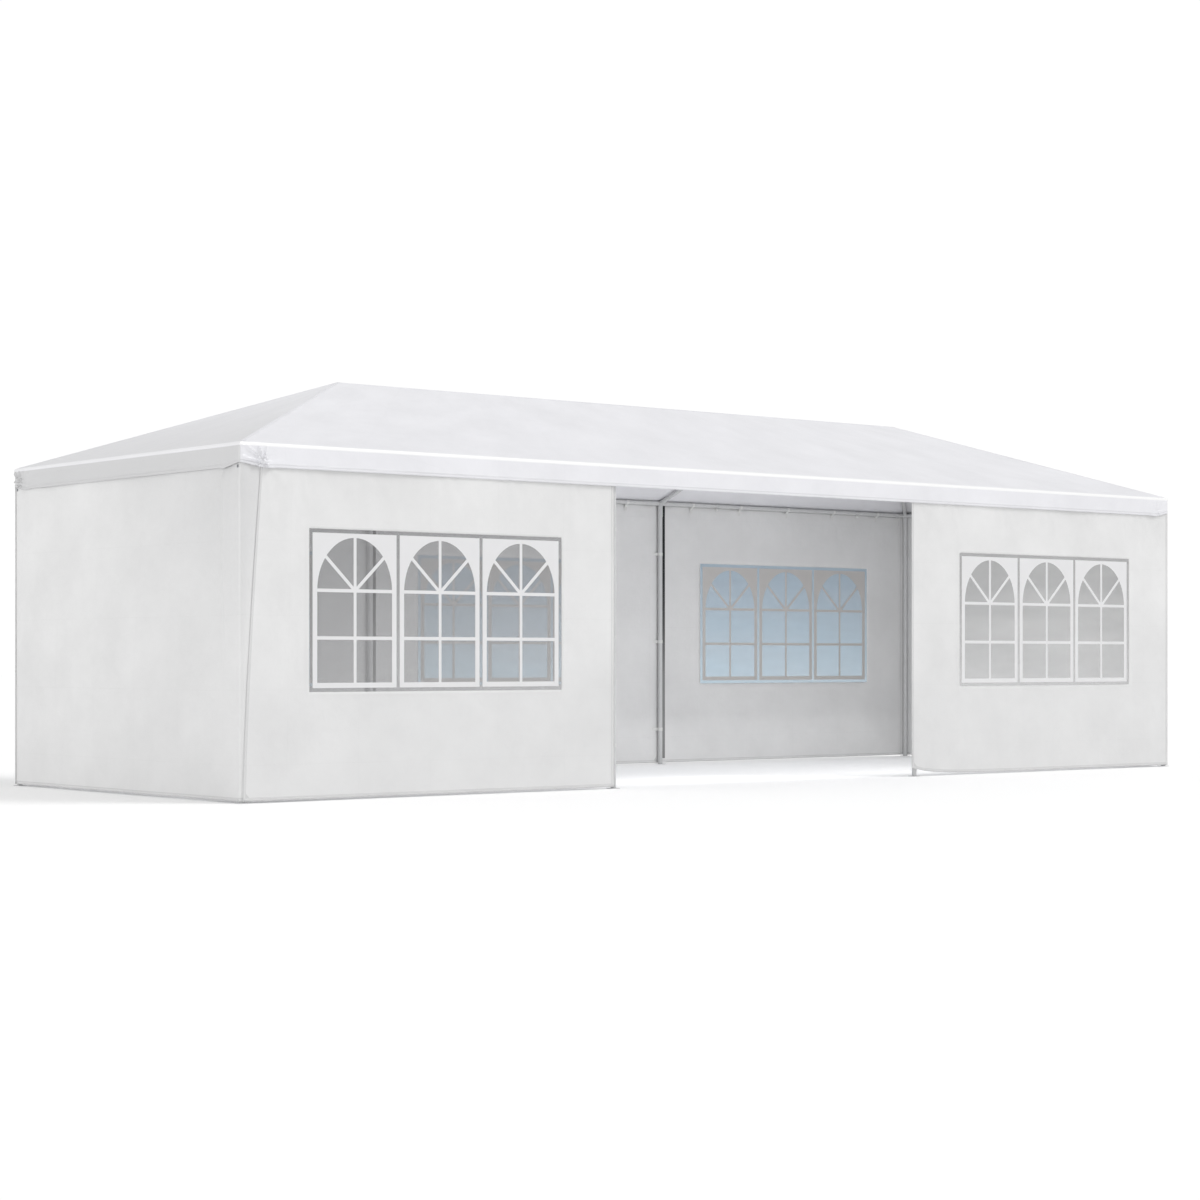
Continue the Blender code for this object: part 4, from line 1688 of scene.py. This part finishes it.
class MARQUEE_OT_stage(bpy.types.Operator):
    """Set up the camera, a plain pale floor and soft studio light"""

    bl_idname = "marquee.stage"
    bl_label = "Stage"

    def execute(self, context):
        stage = context.scene.marquee_stage
        self.place_camera(context.scene, stage)
        self.lay_floor(context.scene, stage)
        self.light_sky(context.scene, stage)
        self.light_tent(stage)
        context.scene.view_settings.view_transform = "Standard"
        return {"FINISHED"}

    def place_camera(self, scene, stage):
        """A level camera whose picture is shifted up."""
        data = bpy.data.cameras.new("camera")
        data.sensor_width = 36.0
        data.lens = stage.lens
        data.shift_y = stage.horizon_shift
        data.clip_end = 400.0
        camera = bpy.data.objects.new("camera", data)
        camera.location = stage.camera_place
        camera.rotation_euler = (math.pi / 2, 0, -stage.camera_turn)
        scene.collection.objects.link(camera)
        scene.camera = camera

    def lay_floor(self, scene, stage):
        """A plain floor just under the foot plates."""
        ground = bmesh.new()
        bmesh.ops.create_grid(ground, x_segments=1, y_segments=1, size=120.0)
        floor = bpy.data.objects.new("floor", finish_form(ground, "floor"))
        floor.location.z = -0.0006
        scene.collection.objects.link(floor)
        floor.data.materials.append(floor_material("floor", stage.floor_colour, stage.floor_glow))

    def light_sky(self, scene, stage):
        """Even light all round, which the camera sees as plain white."""
        seen_strength = 1.02
        world = bpy.data.worlds.new("studio")
        world.use_nodes = True
        world.node_tree.nodes.clear()
        wire = Wire(world.node_tree)
        seen = wire.node("ShaderNodeLightPath", None, None, "Is Camera Ray")
        strength = stage.sky + (seen_strength - stage.sky) * seen
        backdrop = wire.node("ShaderNodeBackground", None, {"Color": (1, 1, 1, 1), "Strength": strength})
        wire.node("ShaderNodeOutputWorld", None, {"Surface": backdrop})
        scene.world = world

    def light_tent(self, stage):
        """A soft high light, a low one behind, and three soft panels of light inside the tent."""
        for name, way, strength in (
            ("key_light", stage.key_way, stage.key),
            ("rim_light", stage.rim_way, stage.rim),
        ):
            far = add_light(name, "SUN", (0, 0, 8), -Vector(way), strength)
            far.angle = stage.key_softness
        inside = -LEG_Y + 0.15
        for name, place, way, size, power in (
            ("doorway_fill", (1.2, inside, 0.85), (0, 1, -0.1), (4.2, 0.9), stage.fill),
            ("bay_fill", (3.0, inside, 0.95), (0, 1, 0), (2.2, 0.9), stage.bay_fill),
            ("floor_wash", (0, 0, 0.42), (0, 0, -1), (8.7, 2.8), stage.floor_wash),
        ):
            soft = add_light(name, "AREA", place, way, power)
            soft.shape = "RECTANGLE"
            soft.size, soft.size_y = size


class MARQUEE_PT_tools(bpy.types.Panel):
    """Everything that dresses the marquee tent"""

    bl_idname = "MARQUEE_PT_tools"
    bl_label = "Marquee tent"
    bl_space_type = "VIEW_3D"
    bl_region_type = "UI"
    bl_category = "Marquee"

    def draw(self, context):
        for operator in OPERATORS:
            self.layout.operator(operator.bl_idname)
        for group in GROUPS:
            box = self.layout.box()
            settings = getattr(context.scene, GROUPS[group])
            for name in group.__annotations__:
                box.prop(settings, name)


GROUPS = {
    MarqueeCloth: "marquee_cloth",
    MarqueeWindow: "marquee_window",
    MarqueeFittings: "marquee_fittings",
    MarqueeStage: "marquee_stage",
}
OPERATORS = (
    MARQUEE_OT_roof_cover,
    MARQUEE_OT_long_walls,
    MARQUEE_OT_end_walls,
    MARQUEE_OT_windows,
    MARQUEE_OT_frame_paint,
    MARQUEE_OT_straps,
    MARQUEE_OT_ties,
    MARQUEE_OT_stage,
)


def register():
    for group, name in GROUPS.items():
        bpy.utils.register_class(group)
        setattr(bpy.types.Scene, name, PointerProperty(type=group))
    for operator in OPERATORS:
        bpy.utils.register_class(operator)
    bpy.utils.register_class(MARQUEE_PT_tools)


def unregister():
    bpy.utils.unregister_class(MARQUEE_PT_tools)
    for operator in reversed(OPERATORS):
        bpy.utils.unregister_class(operator)
    for group, name in reversed(GROUPS.items()):
        delattr(bpy.types.Scene, name)
        bpy.utils.unregister_class(group)


def main():
    """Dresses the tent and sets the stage."""
    register()
    for operator in OPERATORS:
        group, name = operator.bl_idname.split(".")
        getattr(getattr(bpy.ops, group), name)()


if __name__ == "__main__":
    main()
